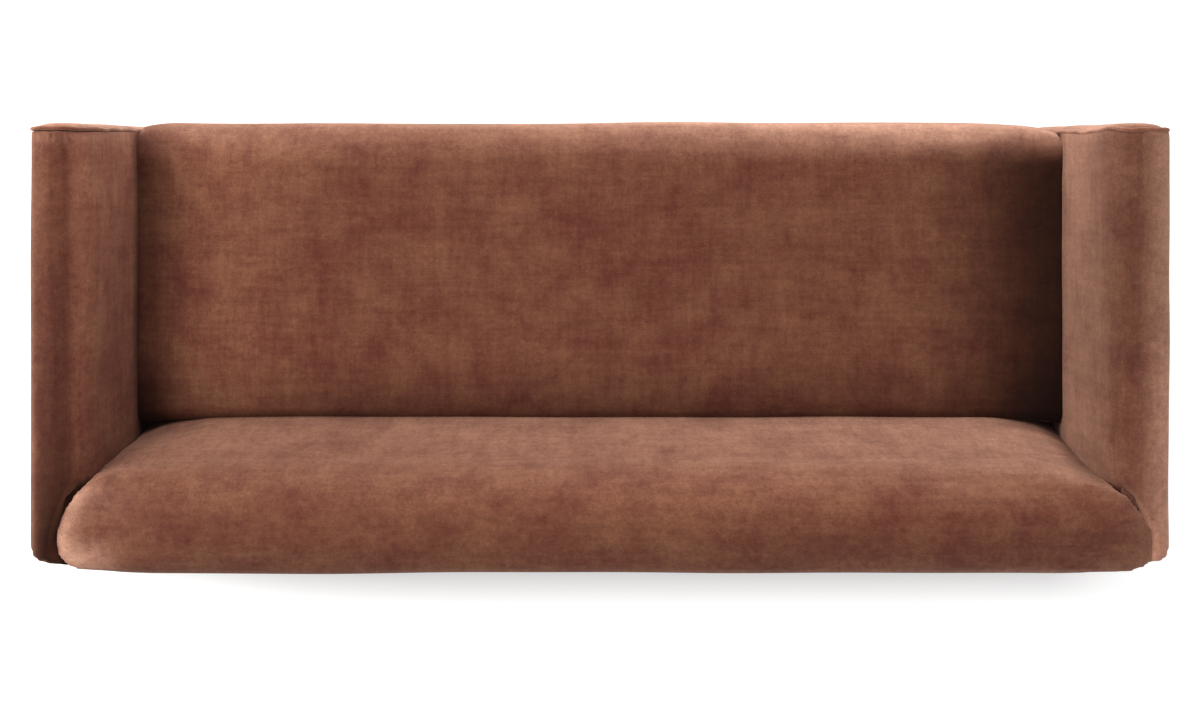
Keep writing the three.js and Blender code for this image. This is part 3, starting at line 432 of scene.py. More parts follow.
class Graph:
    """A short way to add nodes to a tree and join them."""

    def __init__(self, tree):
        self.tree = tree

    def node(self, kind, inputs=None, **settings):
        """Adds a node, sets its settings and its inputs, and joins the inputs that are sockets."""
        node = self.tree.nodes.new(kind)
        for key, value in settings.items():
            setattr(node, key, value)
        for key, value in (inputs or {}).items():
            if isinstance(value, bpy.types.NodeSocket):
                self.tree.links.new(value, node.inputs[key])
            else:
                node.inputs[key].default_value = value
        return node

    def math(self, operation, *values):
        """A Math node's result."""
        return self.node("ShaderNodeMath", dict(enumerate(values)), operation=operation).outputs[0]

    def add(self, first, second):
        """The sum of two values."""
        return self.math("ADD", first, second)

    def minus(self, first, second):
        """The first value less the second."""
        return self.math("SUBTRACT", first, second)

    def times(self, first, second):
        """The product of two values."""
        return self.math("MULTIPLY", first, second)

    def over(self, first, second):
        """The first value divided by the second."""
        return self.math("DIVIDE", first, second)

    def weighted(self, *parts):
        """The sum of values, each times its share."""
        products = [self.times(value, share) for value, share in parts]
        return functools.reduce(self.add, products)

    def mix(self, factor, first, second, blend="MIX"):
        """A colour between two colours."""
        node = self.node("ShaderNodeMix", data_type="RGBA", blend_type=blend)
        for socket, value in zip((node.inputs[0], node.inputs[6], node.inputs[7]), (factor, first, second)):
            if isinstance(value, bpy.types.NodeSocket):
                self.tree.links.new(value, socket)
            else:
                socket.default_value = value
        return node.outputs[2]

    def noise(self, vector, scale, detail, roughness=0.55, distortion=0.0):
        """A noise value of 0 to 1."""
        inputs = {"Vector": vector, "Scale": scale, "Detail": detail, "Roughness": roughness,
                  "Distortion": distortion}
        return self.node("ShaderNodeTexNoise", inputs).outputs[0]

    def stretched(self, vector, scale):
        """The vector with its axes scaled apart."""
        return self.node("ShaderNodeMapping", {"Vector": vector, "Scale": scale}).outputs[0]

    def kept(self, name):
        """The value that a mesh keeps under a name."""
        return self.node("ShaderNodeAttribute", attribute_name=name).outputs["Fac"]

    def place(self):
        """The place on the object."""
        return self.node("ShaderNodeTexCoord").outputs["Object"]

    def seen(self):
        """1 for rays that show a surface itself, straight, mirrored or through glass, and 0 for light."""
        rays = self.node("ShaderNodeLightPath").outputs
        straight = self.math("MAXIMUM", rays["Is Camera Ray"], rays["Is Glossy Ray"])
        return self.math("MAXIMUM", straight, rays["Is Transmission Ray"])

    def ranged(self, value, low, high, to_low=0.0, to_high=1.0):
        """A value moved from one range to another."""
        inputs = {0: value, 1: low, 2: high, 3: to_low, 4: to_high}
        return self.node("ShaderNodeMapRange", inputs).outputs[0]


def group_tree(name, kind, inputs, outputs):
    """A node group with named sockets, given by kind or default, its input sockets and its output node."""
    tree = bpy.data.node_groups.new(name, kind)
    for label, given in inputs.items():
        by_kind = isinstance(given, str)
        socket_type = given if by_kind else SOCKET_KINDS[type(given)]
        socket = tree.interface.new_socket(name=label, in_out="INPUT", socket_type=socket_type)
        if not by_kind:
            socket.default_value = given
    for label, socket_type in outputs.items():
        tree.interface.new_socket(name=label, in_out="OUTPUT", socket_type=socket_type)
    start = tree.nodes.new("NodeGroupInput")
    end = tree.nodes.new("NodeGroupOutput")
    return Graph(tree), start.outputs, end


def surface_group(graph, end, *results):
    """Joins a surface group's colour, roughness and height to its outputs."""
    for name, result in zip(SURFACE_OUTPUTS, results):
        graph.tree.links.new(result, end.inputs[name])
    return graph.tree


@functools.cache
def brushed_pile():
    """Cotton velvet: patches where the pile leans another way and fine threads, with a painted sheen (a pale
    colour mixed in as far as the Grazing input says) and painted shade and light (the Shade input).
    """
    graph, given, end = group_tree("Brushed pile", "ShaderNodeTree", {
        "Vector": VECTOR, "Streak vector": VECTOR, "Cross vector": VECTOR,
        "Deep": WHITE, "Pale": WHITE, "Painted sheen": WHITE,
        "Grazing": 0.0, "Shade": 1.0, "Lean": 0.0,
        "Patch scale": 14.0, "Contrast": 1.0, "Thread contrast": 2.4,
    }, SURFACE_OUTPUTS)
    vector = given["Vector"]
    patches = graph.noise(vector, given["Patch scale"], 9.0, 0.72, 0.1)
    slow = graph.noise(vector, 2.6, 2.0, 0.5, 0.3)
    along = graph.noise(given["Streak vector"], 62.0, 5.0, 0.78)
    across = graph.noise(given["Cross vector"], 62.0, 5.0, 0.78)
    grain = graph.noise(vector, 260.0, 3.0, 0.9)
    specks = graph.noise(vector, 90.0, 5.0, 0.85)
    threads = graph.weighted((along, 0.5), (across, 0.5))
    mottle = graph.add(graph.weighted((patches, 0.58), (slow, 0.18), (threads, 0.24)), given["Lean"])
    fine = graph.weighted((threads, 0.3), (grain, 0.35), (specks, 0.35))
    gain = graph.math("MULTIPLY_ADD", graph.minus(fine, 0.5), given["Thread contrast"], 1.0)
    spread = graph.times(graph.minus(mottle, 0.5), given["Contrast"])
    colour = graph.mix(graph.ranged(graph.add(spread, 0.5), 0.41, 0.59), given["Deep"], given["Pale"])
    # Painted sheen: the colour is mixed towards the pale sheen colour as far as the Grazing input says
    uneven = graph.ranged(mottle, 0.4, 0.6, 0.75, 1.2)
    painted_sheen = graph.node("ShaderNodeClamp", {"Value": graph.times(given["Grazing"], uneven)}).outputs[0]
    colour = graph.mix(painted_sheen, colour, given["Painted sheen"])
    # Painted shade and light: the Shade input, with the fine threads, multiplies the colour, and darker
    # places turn redder
    level = graph.times(given["Shade"], gain)
    green, blue = graph.math("POWER", level, 1.1), graph.math("POWER", level, 1.14)
    redder = graph.node("ShaderNodeCombineColor", {"Red": level, "Green": green, "Blue": blue})
    colour = graph.mix(1.0, colour, redder.outputs[0], "MULTIPLY")
    roughness = graph.ranged(patches, 0.3, 0.7, 0.78, 0.95)
    return surface_group(graph, end, colour, roughness, graph.weighted((patches, 0.7), (threads, 0.3)))


@functools.cache
def wood_grain():
    """Planed wood: growth bands, pores along the grain and slow colour change."""
    graph, given, end = group_tree("Wood grain", "ShaderNodeTree", {
        "Vector": VECTOR, "Light wood": WHITE, "Dark wood": WHITE, "Band scale": 18.0, "Pore contrast": 0.4,
    }, SURFACE_OUTPUTS)
    vector = given["Vector"]
    drift = graph.noise(vector, 5.0, 3.0, 0.5, 0.8)
    bands = graph.math("ABSOLUTE", graph.math("SINE", graph.times(drift, given["Band scale"])))
    colour = graph.mix(graph.weighted((bands, 0.6), (drift, 0.4)), given["Light wood"], given["Dark wood"])
    pores = graph.ranged(graph.noise(vector, 420.0, 2.0, 0.8), 0.52, 0.7)
    pore_mask = graph.times(pores, given["Pore contrast"])
    colour = graph.mix(pore_mask, colour, given["Dark wood"])
    roughness = graph.ranged(bands, 0.0, 1.0, 0.42, 0.6)
    return surface_group(graph, end, colour, roughness, graph.minus(bands, pore_mask))


@functools.cache
def woven_threads():
    """Plain weave in two directions, with uneven threads."""
    graph, given, end = group_tree("Woven threads", "ShaderNodeTree", {
        "Vector": VECTOR, "Thread": WHITE, "Shade": WHITE, "Threads per metre": 600.0, "Fuzz": 0.4,
    }, SURFACE_OUTPUTS)
    x, y, z = graph.node("ShaderNodeSeparateXYZ", {0: given["Vector"]}).outputs
    turn = graph.times(given["Threads per metre"], math.pi)
    across = graph.math("ABSOLUTE", graph.math("SINE", graph.times(x, turn)))
    along = graph.math("ABSOLUTE", graph.math("SINE", graph.times(graph.add(y, z), turn)))
    fuzz = graph.noise(given["Vector"], 260.0, 3.0, 0.7)
    mask = graph.weighted((graph.times(across, along), 0.7), (fuzz, given["Fuzz"]))
    colour = graph.mix(mask, given["Shade"], given["Thread"])
    return surface_group(graph, end, colour, graph.ranged(fuzz, 0.0, 1.0, 0.8, 1.0), mask)


def new_material(name):
    """A material, its graph and its shader's inputs."""
    material = bpy.data.materials.new(name)
    material.use_nodes = True
    return material, Graph(material.node_tree), material.node_tree.nodes["Principled BSDF"].inputs


def surface_material(name, group, values, relief, streaks, **shader):
    """A material whose colour, roughness and relief come from a group on Object coordinates."""
    material, graph, inputs = new_material(name)
    links = material.node_tree.links
    place = graph.place()
    surface = graph.node("ShaderNodeGroup", node_tree=group)
    for key, axis in streaks.items():
        links.new(graph.stretched(place, STREAK_SHARES[axis]), surface.inputs[key])
    for key, value in values.items():
        surface.inputs[key].default_value = value
    bump = graph.node("ShaderNodeBump", {
        "Strength": 1.0, "Distance": relief, "Height": surface.outputs["Height"]})
    links.new(surface.outputs["Color"], inputs["Base Color"])
    links.new(surface.outputs["Roughness"], inputs["Roughness"])
    links.new(bump.outputs["Normal"], inputs["Normal"])
    for key, value in shader.items():
        inputs[key.replace("_", " ")].default_value = value
    return material, graph, surface


# How a pattern is scaled along x, y and z, by the axis that its streaks run along
STREAK_SHARES = {"": (1.0, 1.0, 1.0), "x": (0.1, 1.0, 1.0), "y": (1.0, 0.1, 1.0), "z": (1.0, 1.0, 0.1)}

# The axes that the velvet's threads run along on each group of pieces
VELVET_AXES = {"back": "xz", "arm": "yz", "upright": "zx", "welt": "xz", "seat": "xy"}

# The light and the dark colour of each wood, and of each cloth's threads
BEECH = ((0.6, 0.4, 0.2), (0.42, 0.25, 0.11))
WALNUT = ((0.06, 0.026, 0.012), (0.018, 0.008, 0.004))
DECK_CLOTH = ((0.05, 0.045, 0.042), (0.02, 0.018, 0.017))
DUST_CLOTH = ((0.014, 0.014, 0.015), (0.005, 0.005, 0.005))
JUTE = ((0.5, 0.4, 0.26), (0.24, 0.18, 0.1))


@functools.cache
def velvet(pieces):
    """The sofa's velvet on one group of pieces, with each piece's own painted shade and light, painted sheen,
    painted highlights and lean of the pile.
    """
    look = bpy.context.scene.sofa_look
    along, across = VELVET_AXES[pieces]
    material, graph, surface = surface_material(
        f"velvet_{pieces}", brushed_pile(),
        {"Deep": (*look.velvet_deep, 1.0), "Pale": (*look.velvet_pale, 1.0),
         "Painted sheen": (*look.velvet_painted_sheen, 1.0), "Patch scale": look.patch_scale,
         "Contrast": look.patch_contrast, "Thread contrast": look.thread_contrast},
        look.pile_relief, {"Vector": "", "Streak vector": along, "Cross vector": across},
        Sheen_Weight=look.sheen, Sheen_Roughness=look.sheen_spread, Sheen_Tint=(*look.sheen_tint, 1.0),
        Specular_IOR_Level=0.1)
    # Painted sheen: where the surface is seen along it, the colour turns pale as far as each piece's kept
    # sheen value says; the kept highlight value pales it anywhere, and the kept shade value multiplies it
    # with painted shade and light
    facing = graph.node("ShaderNodeLayerWeight", {"Blend": look.painted_sheen_spread}).outputs["Facing"]
    grazing = graph.times(graph.math("POWER", facing, look.painted_sheen_power), graph.kept("painted_sheen"))
    links = material.node_tree.links
    links.new(graph.add(graph.times(grazing, look.painted_sheen), graph.kept("painted_highlight")), surface.inputs["Grazing"])
    links.new(graph.kept("shade"), surface.inputs["Shade"])
    links.new(graph.kept("lean"), surface.inputs["Lean"])
    return material


@functools.cache
def wood(name, light, dark, along, bands, pores, **shader):
    """A wood with its grain along one axis."""
    values = {"Light wood": (*light, 1.0), "Dark wood": (*dark, 1.0),
              "Band scale": bands, "Pore contrast": pores}
    return surface_material(
        f"{name}_{along}", wood_grain(), values, WOOD_RELIEF, {"Vector": along}, **shader)[0]


def cloth(name, thread, shade, pitch, fuzz, relief):
    """A woven or felted cloth."""
    values = {"Thread": (*thread, 1.0), "Shade": (*shade, 1.0), "Threads per metre": pitch, "Fuzz": fuzz}
    return surface_material(
        name, woven_threads(), values, relief, {"Vector": ""}, Sheen_Weight=0.25, Specular_IOR_Level=0.2)[0]


def plain_surface(name, colour, rough, metal, mottle_scale):
    """A smooth hard finish with slight mottling in its colour and gloss."""
    material, graph, inputs = new_material(name)
    mottle = graph.noise(graph.place(), mottle_scale, 4.0, 0.6)
    dim = tuple(0.7 * c for c in colour)
    bump = graph.node("ShaderNodeBump", {"Distance": METAL_RELIEF, "Height": mottle})
    links = material.node_tree.links
    links.new(graph.mix(mottle, (*dim, 1.0), (*colour, 1.0)), inputs["Base Color"])
    links.new(graph.ranged(mottle, 0.3, 0.7, rough - 0.08, rough + 0.1), inputs["Roughness"])
    links.new(bump.outputs["Normal"], inputs["Normal"])
    inputs["Metallic"].default_value = metal
    return material


# Forms of the back and arms

def back_face(height, end, right=False):
    """How far back the upholstered face of the back lies at a height; end is 1 at the arm."""
    rise = np.clip((height - BACK_LOW.z) / (BACK_HIGH.z - BACK_LOW.z), 0, 1)
    flat = BACK_JOIN + (height - BACK_JOIN_HEIGHT) * BACK_SLOPE_SHARE
    above = height - BACK_TURN_BOTTOM
    if right:
        draw = BACK_RIGHT_DRAW * np.maximum(1 - (np.maximum(above, 0) / BACK_RIGHT_TURN) ** 2, -0.12)
    else:
        draw = BACK_END_DRAW * np.minimum(1 - above / BACK_TURN_HEIGHT, 1)
    return flat - BACK_CROWN * np.sin(np.pi * rise) + draw * end


def top_outline(flat_start, front, rear, top):
    """The stretch of a section over the top: the front roll, the crown and the rear roll."""
    outline = arc((flat_start, top - front[1]), front, 180, 90, 12)
    back_start = rear - BACK_REAR_RADIUS
    for share in np.linspace(0, 1, 12)[1:-1]:
        lift = BACK_TOP_CROWN * math.sin(math.pi * share)
        outline.append((flat_start + (back_start - flat_start) * share, top + lift))
    return outline, back_start


def back_section(x):
    """One section of the back pad: up the face, over the top, to the rear seam and down inside."""
    start = ARM_INNER - GAP - BACK_END_LENGTH
    end = min(max((abs(x) - start) / BACK_END_LENGTH, 0), 1) ** BACK_END_POWER
    top = BACK_HIGH.z - BACK_TOP_CROWN - BACK_END_DROP * end
    depth = BACK_FRONT_RADIUS + (BACK_END_RADIUS - BACK_FRONT_RADIUS) * end
    height = depth * BACK_ROLL_STRETCH
    rear = BACK_HIGH.y + BACK_REAR_BULGE - BACK_REAR_DRAW * end
    outline = [(back_face(z, end, x < 0), z) for z in np.linspace(BACK_LOW.z, top - height, 24)[:-1]]
    roll_start = back_face(top - height, end, x < 0) + depth
    over, back_start = top_outline(roll_start, (depth, height), rear, top)
    rear_radii = (BACK_REAR_RADIUS, BACK_REAR_RADIUS)
    outline += over + arc((back_start, top - BACK_REAR_RADIUS), rear_radii, 90, 0, 8)
    foot, head = TACK_RAIL_LOW.y - WEB_CLEARANCE, TOP_RAIL_LOW.y - WEB_CLEARANCE
    behind, above = FRAME_REAR + GAP, FRAME_TOP + GAP
    outline += [
        (rear - BACK_SEAM_TUCK, SEAM_HEIGHT), (behind, SEAM_HEIGHT), (behind, above), (head, above),
        (head, TOP_RAIL_LOW.z), (foot, TACK_RAIL_HIGH.z), (foot, BACK_LOW.z),
    ]
    return [(x, y, z) for y, z in outline]


def by_side(x, left, right):
    """One value on the sitter's left and another on the right."""
    return np.where(np.asarray(x) > 0, left, right)


def pillow_reached(x):
    """How far along the pillow end a place lies, 0 at its root and 1 at its tip."""
    past_root = np.maximum(np.abs(x) - ARM_INNER + PILLOW_OVERLAP, 0)
    return past_root / by_side(x, PILLOW_REACH, PILLOW_RIGHT_REACH)


def pillow_front(x):
    """Where the pillow end's front lies at its root, further back at the right."""
    return by_side(x, PILLOW_FRONT, PILLOW_RIGHT_FRONT)


def pillow_floor(x):
    """How high the pillow end's underside lies: lower at its root, where it fills the arm's rounded edge."""
    past_edge = smoothstep(np.abs(x), ARM_INNER, ARM_INNER + PILLOW_ROOT_LENGTH)
    return FRAME_TOP + PILLOW_FLOOR - PILLOW_ROOT_DEPTH * (1 - past_edge)


def pillow_rear(x):
    """How far along the sofa's depth the pillow end curves in behind."""
    return by_side(x, PILLOW_REAR_LENGTH, PILLOW_RIGHT_REAR)


def pillow_section(x):
    """One section of the pillow end that spreads over an arm."""
    reached = min(float(pillow_reached(x)), 1)
    wide = math.sqrt(1 - reached ** 2)
    ahead = (1 - reached ** PILLOW_FRONT_POWER) ** (1 / PILLOW_FRONT_POWER)
    floor = float(pillow_floor(x))
    start = float(pillow_front(x))
    front = start + (PILLOW_CENTRE - start) * (1 - ahead)
    rear = PILLOW_REAR - float(pillow_rear(x)) * (1 - wide)
    domed = (1 - reached ** PILLOW_DOME_POWER) ** (1 / PILLOW_DOME_POWER)
    top = floor + max(BACK_HIGH.z - BACK_TOP_CROWN - BACK_END_DROP - floor, 0) * domed + PILLOW_TIP_HEIGHT
    radius = min(BACK_END_RADIUS, PILLOW_RADIUS_SHARE * (rear - front))
    rear_radius = min(BACK_REAR_RADIUS, PILLOW_RADIUS_SHARE * (rear - front))
    outline = arc((front + radius, floor), (radius, top - floor), 180, 90, 10)
    for share in np.linspace(0, 1, 10)[1:-1]:
        span = rear - rear_radius - front - radius
        lift = BACK_TOP_CROWN * domed * math.sin(math.pi * share)
        outline.append((front + radius + span * share, top + lift))
    outline += arc((rear - rear_radius, floor), (rear_radius, top - floor), 90, 0, 8)
    return [(x, y, z) for y, z in outline]


def pillow_end(side):
    """One end of the back's top roll, domed and rolled under at its edge."""
    tip = ARM_INNER - PILLOW_OVERLAP + (PILLOW_REACH if side > 0 else PILLOW_RIGHT_REACH)
    places = PILLOW_START + (tip - PILLOW_TIP_GAP - PILLOW_START) * np.sin(np.linspace(0, math.pi / 2, 26))
    return loft("pillow end", [pillow_section(side * x) for x in places])


def beyond_pillow(x, y):
    """How far a place on an arm lies outside the pillow end's outline, less than 0 inside it."""
    rear_length = pillow_rear(x)
    rear_centre = PILLOW_REAR - rear_length
    dx = np.maximum(np.abs(x) - ARM_INNER + PILLOW_OVERLAP, 0)
    ahead = np.minimum(y - PILLOW_CENTRE, 0)
    behind = np.maximum(y - rear_centre, 0)
    power = np.where(ahead < 0, PILLOW_FRONT_POWER, 2.0)
    share = (pillow_reached(x) ** power + (-ahead / (PILLOW_CENTRE - pillow_front(x))) ** power
             + (behind / rear_length) ** power) ** (1 / power)
    distance = np.sqrt(dx ** 2 + ahead ** 2 + behind ** 2)
    drawn_in = PILLOW_DRAWN_IN * smoothstep(-ahead, 0, 0.03)
    least = 0.02
    return np.where(share > least, distance * (1 - 1 / np.maximum(share, least)) + drawn_in, -0.05)


def joined(objects):
    """One object with the faces of several."""
    first = objects[0]
    form = bmesh.new()
    for obj in objects:
        form.from_mesh(obj.data)
    form.to_mesh(first.data)
    form.free()
    for obj in objects[1:]:
        bpy.data.objects.remove(obj)
    return first


def tone_back(pad):
    """Paints shade and light on the back: its face pales towards the right, the left pillow end has a painted
    highlight, and painted shade lies below the seat, beside the right arm, at the lower right end and as a
    painted shadow along the rear seam.
    """
    x, y, z = points_of(pad).T
    left, aside = x > 0, np.abs(x)
    inside = np.maximum(-beyond_pillow(x, y), 0)
    over = smoothstep(y, 0.27, 0.37)
    rightward = smoothstep(-x, -0.7, 0.5)
    far = smoothstep(-x, 0.3, 0.8)
    # Painted light: the face paler towards the right, the top paler towards the ends
    face = 0.8 + 0.2 * rightward - 0.05 * far
    top = 0.7 + (0.04 + 0.16 * left) * smoothstep(aside, 0.8, 1.0)
    # Painted shade below the seat's top, where the back goes down into the crevice
    above_seat = smoothstep(z, SEAT_HIGH.z - 0.03, SEAT_HIGH.z + 0.004)
    # Painted shadow along the rear seam, and painted shade at the lower right end, beside the right arm and
    # along the seat
    turned = smoothstep(normals_of(pad)[:, 1], 0.82, 0.95)
    low_end = smoothstep(-x, 0.81, 0.9) * (1 - smoothstep(z, 0.45, 0.49))
    beside = smoothstep(-x, ARM_INNER - 0.06, ARM_INNER - 0.005) * (1 - smoothstep(z, 0.68, 0.75))
    rim = 1 - 0.8 * turned * bell(z, 0.738, 0.013)
    rim *= (1 - 0.5 * low_end) * (1 - 0.12 * bell(z, SEAT_HIGH.z + 0.005, 0.025)) * (1 - 0.55 * beside)
    keep_value(pad, "shade", (face + (top - face) * over) * (0.2 + 0.8 * above_seat) * rim)
    # Lean: the top darker towards the right end, painted shade, and in one patch of pile right of the middle
    pile_and_painted_light = 0.04 * smoothstep(-x, 0.5, 0.95) + 0.035 * bell(x, -0.32, 0.17)
    keep_value(pad, "lean", -over * pile_and_painted_light)
    # Painted sheen on the back, stronger towards the right and weaker partway up the face
    keep_value(pad, "painted_sheen", (0.62 + 0.15 * rightward + 0.35 * far) * (1 - 0.25 * bell(z, 0.65, 0.06)))
    # Painted highlight on the pillow ends where they lie on the arms, strong on the left one, and at the left
    # one's root
    on_arm = smoothstep(aside, 0.89, 0.98) * smoothstep(z, FRAME_TOP, FRAME_TOP + 0.02)
    behind = smoothstep(y, 0.35, 0.4)
    pale = bell(inside, 0, 0.03 + 0.045 * behind) * np.where(left, 0.62 + 0.1 * behind, 0.06)
    root = smoothstep(x, 0.84, 0.94) * bell(y, 0.3, 0.045)
    keep_value(pad, "painted_highlight", on_arm * pale + 0.11 * root)


def build_inside_back():
    """The inside back: one pad that rolls over the top and spreads over the arms in two pillow ends."""
    half = ARM_INNER + BACK_END_PRESS
    ends = half - BACK_END_LENGTH * (1 - np.linspace(0, 1, 14) ** 0.8)
    middle = np.linspace(-1, 1, 40)[1:-1] * (half - BACK_END_LENGTH)
    stations = np.concatenate([-ends[::-1], middle, ends])
    main = loft("inside_back", [back_section(x) for x in stations])
    pad = remeshed(joined([main, pillow_end(1), pillow_end(-1)]), square=0.0076)
    x, y, z = points_of(pad).T
    root = smoothstep(np.abs(x), 0.91, 0.95) * (1 - smoothstep(np.abs(x), 0.985, 1.0))
    root *= (1 - smoothstep(y, 0.39, 0.42)) * smoothstep(z, 0.7, 0.73)
    pad = smoothed(smoothed(pad, 5), 10, root)
    heights, normals = points_of(pad)[:, 2], normals_of(pad)
    behind = (normals[:, 1] > 0.4) & (heights < SEAM_HEIGHT)
    beside = (np.abs(normals[:, 0]) > 0.6) & (heights < FRAME_TOP)
    below = normals[:, 2] < -0.5
    hold = np.where(behind | beside | below, 1.0, 0.0)
    pad = smoothed(puffed(pad, pressure=2.5, limit=0.004, hold=hold), 2)
    swell(pad, size=0.34, depth=0.0012, seed=11)
    top, height = BACK_HIGH.z, BACK_CREASE_HEIGHT
    crease(pad, (0.047, 0.374, top), (-0.104, 0.316, top), width=0.007, depth=0.0016)
    crease(pad, (0.01, 0.372, top), (-0.075, 0.335, top), width=0.005, depth=0.001)
    for side in (1, -1):
        for reach, rise in ((0.11, 0.03), (0.15, 0.07)):
            start = (side * (ARM_INNER - 0.012), back_face(height, 1.0), height)
            end = (side * (ARM_INNER - reach), back_face(height + rise, 0.3), height + rise)
            crease(pad, start, end, width=0.007, depth=0.0012)
    tone_back(pad)
    finished(pad, "inside_back_pad", velvet("back"))


def roll_into_crevice(co):
    """Rolls an arm's top down to the crevice round the pillow end."""
    x, y, z = co.T
    beyond = beyond_pillow(x, y)
    share = np.clip(1 - beyond / ROLL_REACH, 0, 1)
    drop = ROLL_DEPTH * (1 - np.sqrt(1 - share ** 2)) + np.clip(-3 * beyond, 0, 0.03)
    on_top = smoothstep(z, FRAME_TOP - 0.004, FRAME_TOP + 0.012)
    co[:, 2] = np.maximum(z - drop * on_top, np.minimum(z, FRAME_TOP + 0.002))
    rear = smoothstep(y, 0.36, 0.415) * smoothstep(z, 0.66, 0.7)
    co[:, 1] += ROLL_REAR_BULGE * rear * (1 - smoothstep(np.abs(x), 1.0, 1.065))
    return co


def pulled_front_edge(co):
    """Sets the right arm's inner front edge back a little below its top, where the welt was drawn in."""
    x, y, z = co.T
    inner = (1 - smoothstep(-x, ARM_INNER + 0.012, ARM_INNER + 0.05)) * (x < 0)
    near_front = smoothstep(-y, -ARM_LOW.y - 0.05, -ARM_LOW.y - 0.005)
    pull = 0.0036 * bell(z, 0.555, 0.07) - 0.0022 * bell(z, 0.712, 0.025)
    co[:, 1] += pull * inner * near_front
    return co


def drawn_to_welt(pad):
    """Draws the rounded front edge of an arm's cover forward, so that it meets the welt."""
    co, normals = points_of(pad), normals_of(pad)
    near = 1 - smoothstep(co[:, 1], ARM_LOW.y + 0.003, ARM_LOW.y + 0.02)
    rounded = 1 - smoothstep(-normals[:, 1], 0.75, 0.97)
    co[:, 1] -= FRONT_EDGE_DRAW * near * rounded
    place_points(pad, co)


def pleat(obj, centre, radius, angles, depth):
    """Presses folded pleats into a rounded corner, seen from above round its centre."""
    co = points_of(obj)
    dx, dy = co[:, 0] - centre[0], co[:, 1] - centre[1]
    angle = np.degrees(np.arctan2(dy, dx))
    reach = smoothstep(np.hypot(dx, dy), radius * 0.35, radius * 0.85)
    reach *= smoothstep(co[:, 2], SEAM_HEIGHT, SEAM_HEIGHT + 0.02)
    move = np.zeros(len(co))
    for place in angles:
        off = (angle - place + 180) % 360 - 180
        move += bell(off, 0, 5) - 0.4 * bell(off, 9, 6)
    place_points(obj, co - normals_of(obj) * (depth * move * reach)[:, None])


def tone_arm(pad, side):
    """Paints shade and light on an arm: the left one's inner face turns from the light, the right one's faces
    it; painted shade lies in the crevices, the pocket and beside the seat, and painted highlights along the
    outer edge, the front and the puckers.
    """
    x, y, z = points_of(pad).T
    normals = normals_of(pad)
    across = np.clip((np.abs(x) - ARM_INNER) / (ARM_OUTER - ARM_INNER), 0, 1)
    back = np.clip((y - ARM_LOW.y) / (ARM_HIGH.y - ARM_LOW.y), 0, 1)
    inner = smoothstep(-side * normals[:, 0], 0.35 if side > 0 else 0.1, 0.97)
    outer = smoothstep(across, 0.4, 0.8) if side > 0 else smoothstep(across, 0.12, 0.9)
    edge = smoothstep(across, 0.8, 1.0)
    # Painted shade low on the inner face, beside the seat
    beside_seat = 0.6 if side > 0 else 0.2
    low = 1 - beside_seat * (1 - smoothstep(z, SEAT_HIGH.z - 0.01, SEAT_HIGH.z + 0.035)) * inner
    low *= 1 - 0.85 * (1 - smoothstep(z, SEAT_HIGH.z - 0.04, SEAT_HIGH.z - 0.01)) * inner
    # Painted highlights on puckers along the front of the top
    stretch = np.maximum(np.sin(x * 610) + np.sin(x * 373 + 1.0), 0)
    painted_pucker_highlight = 0.1 * stretch * bell(y, ARM_LOW.y + 0.012, 0.009) * (1 - inner)
    # Painted shade in the crevice round the pillow end and deep in the pocket beside it
    beyond = np.maximum(beyond_pillow(x, y), 0)
    crevice = 1 - 0.3 * bell(beyond, 0, 0.014) * smoothstep(z, 0.7, 0.72)
    pocket = smoothstep(y, 0.25, 0.27) * (1 - smoothstep(y, 0.36, 0.4))
    pocket *= (1 - smoothstep(np.abs(x), 1.045, 1.055)) * bell(beyond, 0, 0.006)
    pocket *= smoothstep(z, 0.7, 0.71) * (1 - smoothstep(z, FRAME_TOP + 0.006, FRAME_TOP + 0.024))
    deep = 1 - 0.7 * pocket
    if side > 0:
        # Left arm: painted light on the inner face and the rear outer edge, the top darker towards the rear,
        # faces turned back paler, painted sheen, painted highlights along the front and the outer edge, and
        # the lean darker towards the rear
        rim = smoothstep(across, 0.7, 0.95) * (0.05 + 0.36 * smoothstep(back, 0.35, 0.85))
        fall = 0.97 - 0.48 * back - 0.27 * smoothstep(back, 0.68, 0.95)
        lit = ((0.64 + 0.14 * outer + 1.15 * inner) * fall * low + rim) * crevice * deep
        painted_front_highlight = 0.1 * bell(y, ARM_LOW.y + 0.01, 0.014)
        keep_value(pad, "shade", lit + 0.45 * smoothstep(normals[:, 1], 0.45, 0.85))
        keep_value(pad, "painted_sheen", 0.85 - 0.75 * inner - 0.2 * outer)
        pile_and_painted_light = 0.02 + 0.16 * back + 0.14 * smoothstep(back, 0.8, 0.95)
        keep_value(pad, "painted_highlight", painted_pucker_highlight + painted_front_highlight + edge * pile_and_painted_light)
        keep_value(pad, "lean", -0.045 * smoothstep(back, 0.1, 0.7) * (1 - 0.6 * inner))
    else:
        # Right arm: painted light on the inner face, less high up and towards the rear, and on the outer
        # side, with painted sheen and painted highlights along the outer edge, the inner front and the
        # puckers
        rise = smoothstep(z, 0.5, 0.72)
        top = 0.37 + 0.14 * smoothstep(back, 0.3, 0.7)
        facing = 0.44 * inner * (1 - 0.4 * rise) * (1 - 0.3 * smoothstep(back, 0.2, 0.6))
        keep_value(pad, "shade", ((top + facing) * low + outer * (0.45 + 0.09 * back)) * deep)
        keep_value(pad, "painted_sheen", 1.0 - 0.3 * inner * rise)
        ahead = 1 - smoothstep(back, 0.05, 0.2)
        keep_value(pad, "painted_highlight", 0.3 * outer + 0.17 * edge + 0.1 * inner * ahead + painted_pucker_highlight)


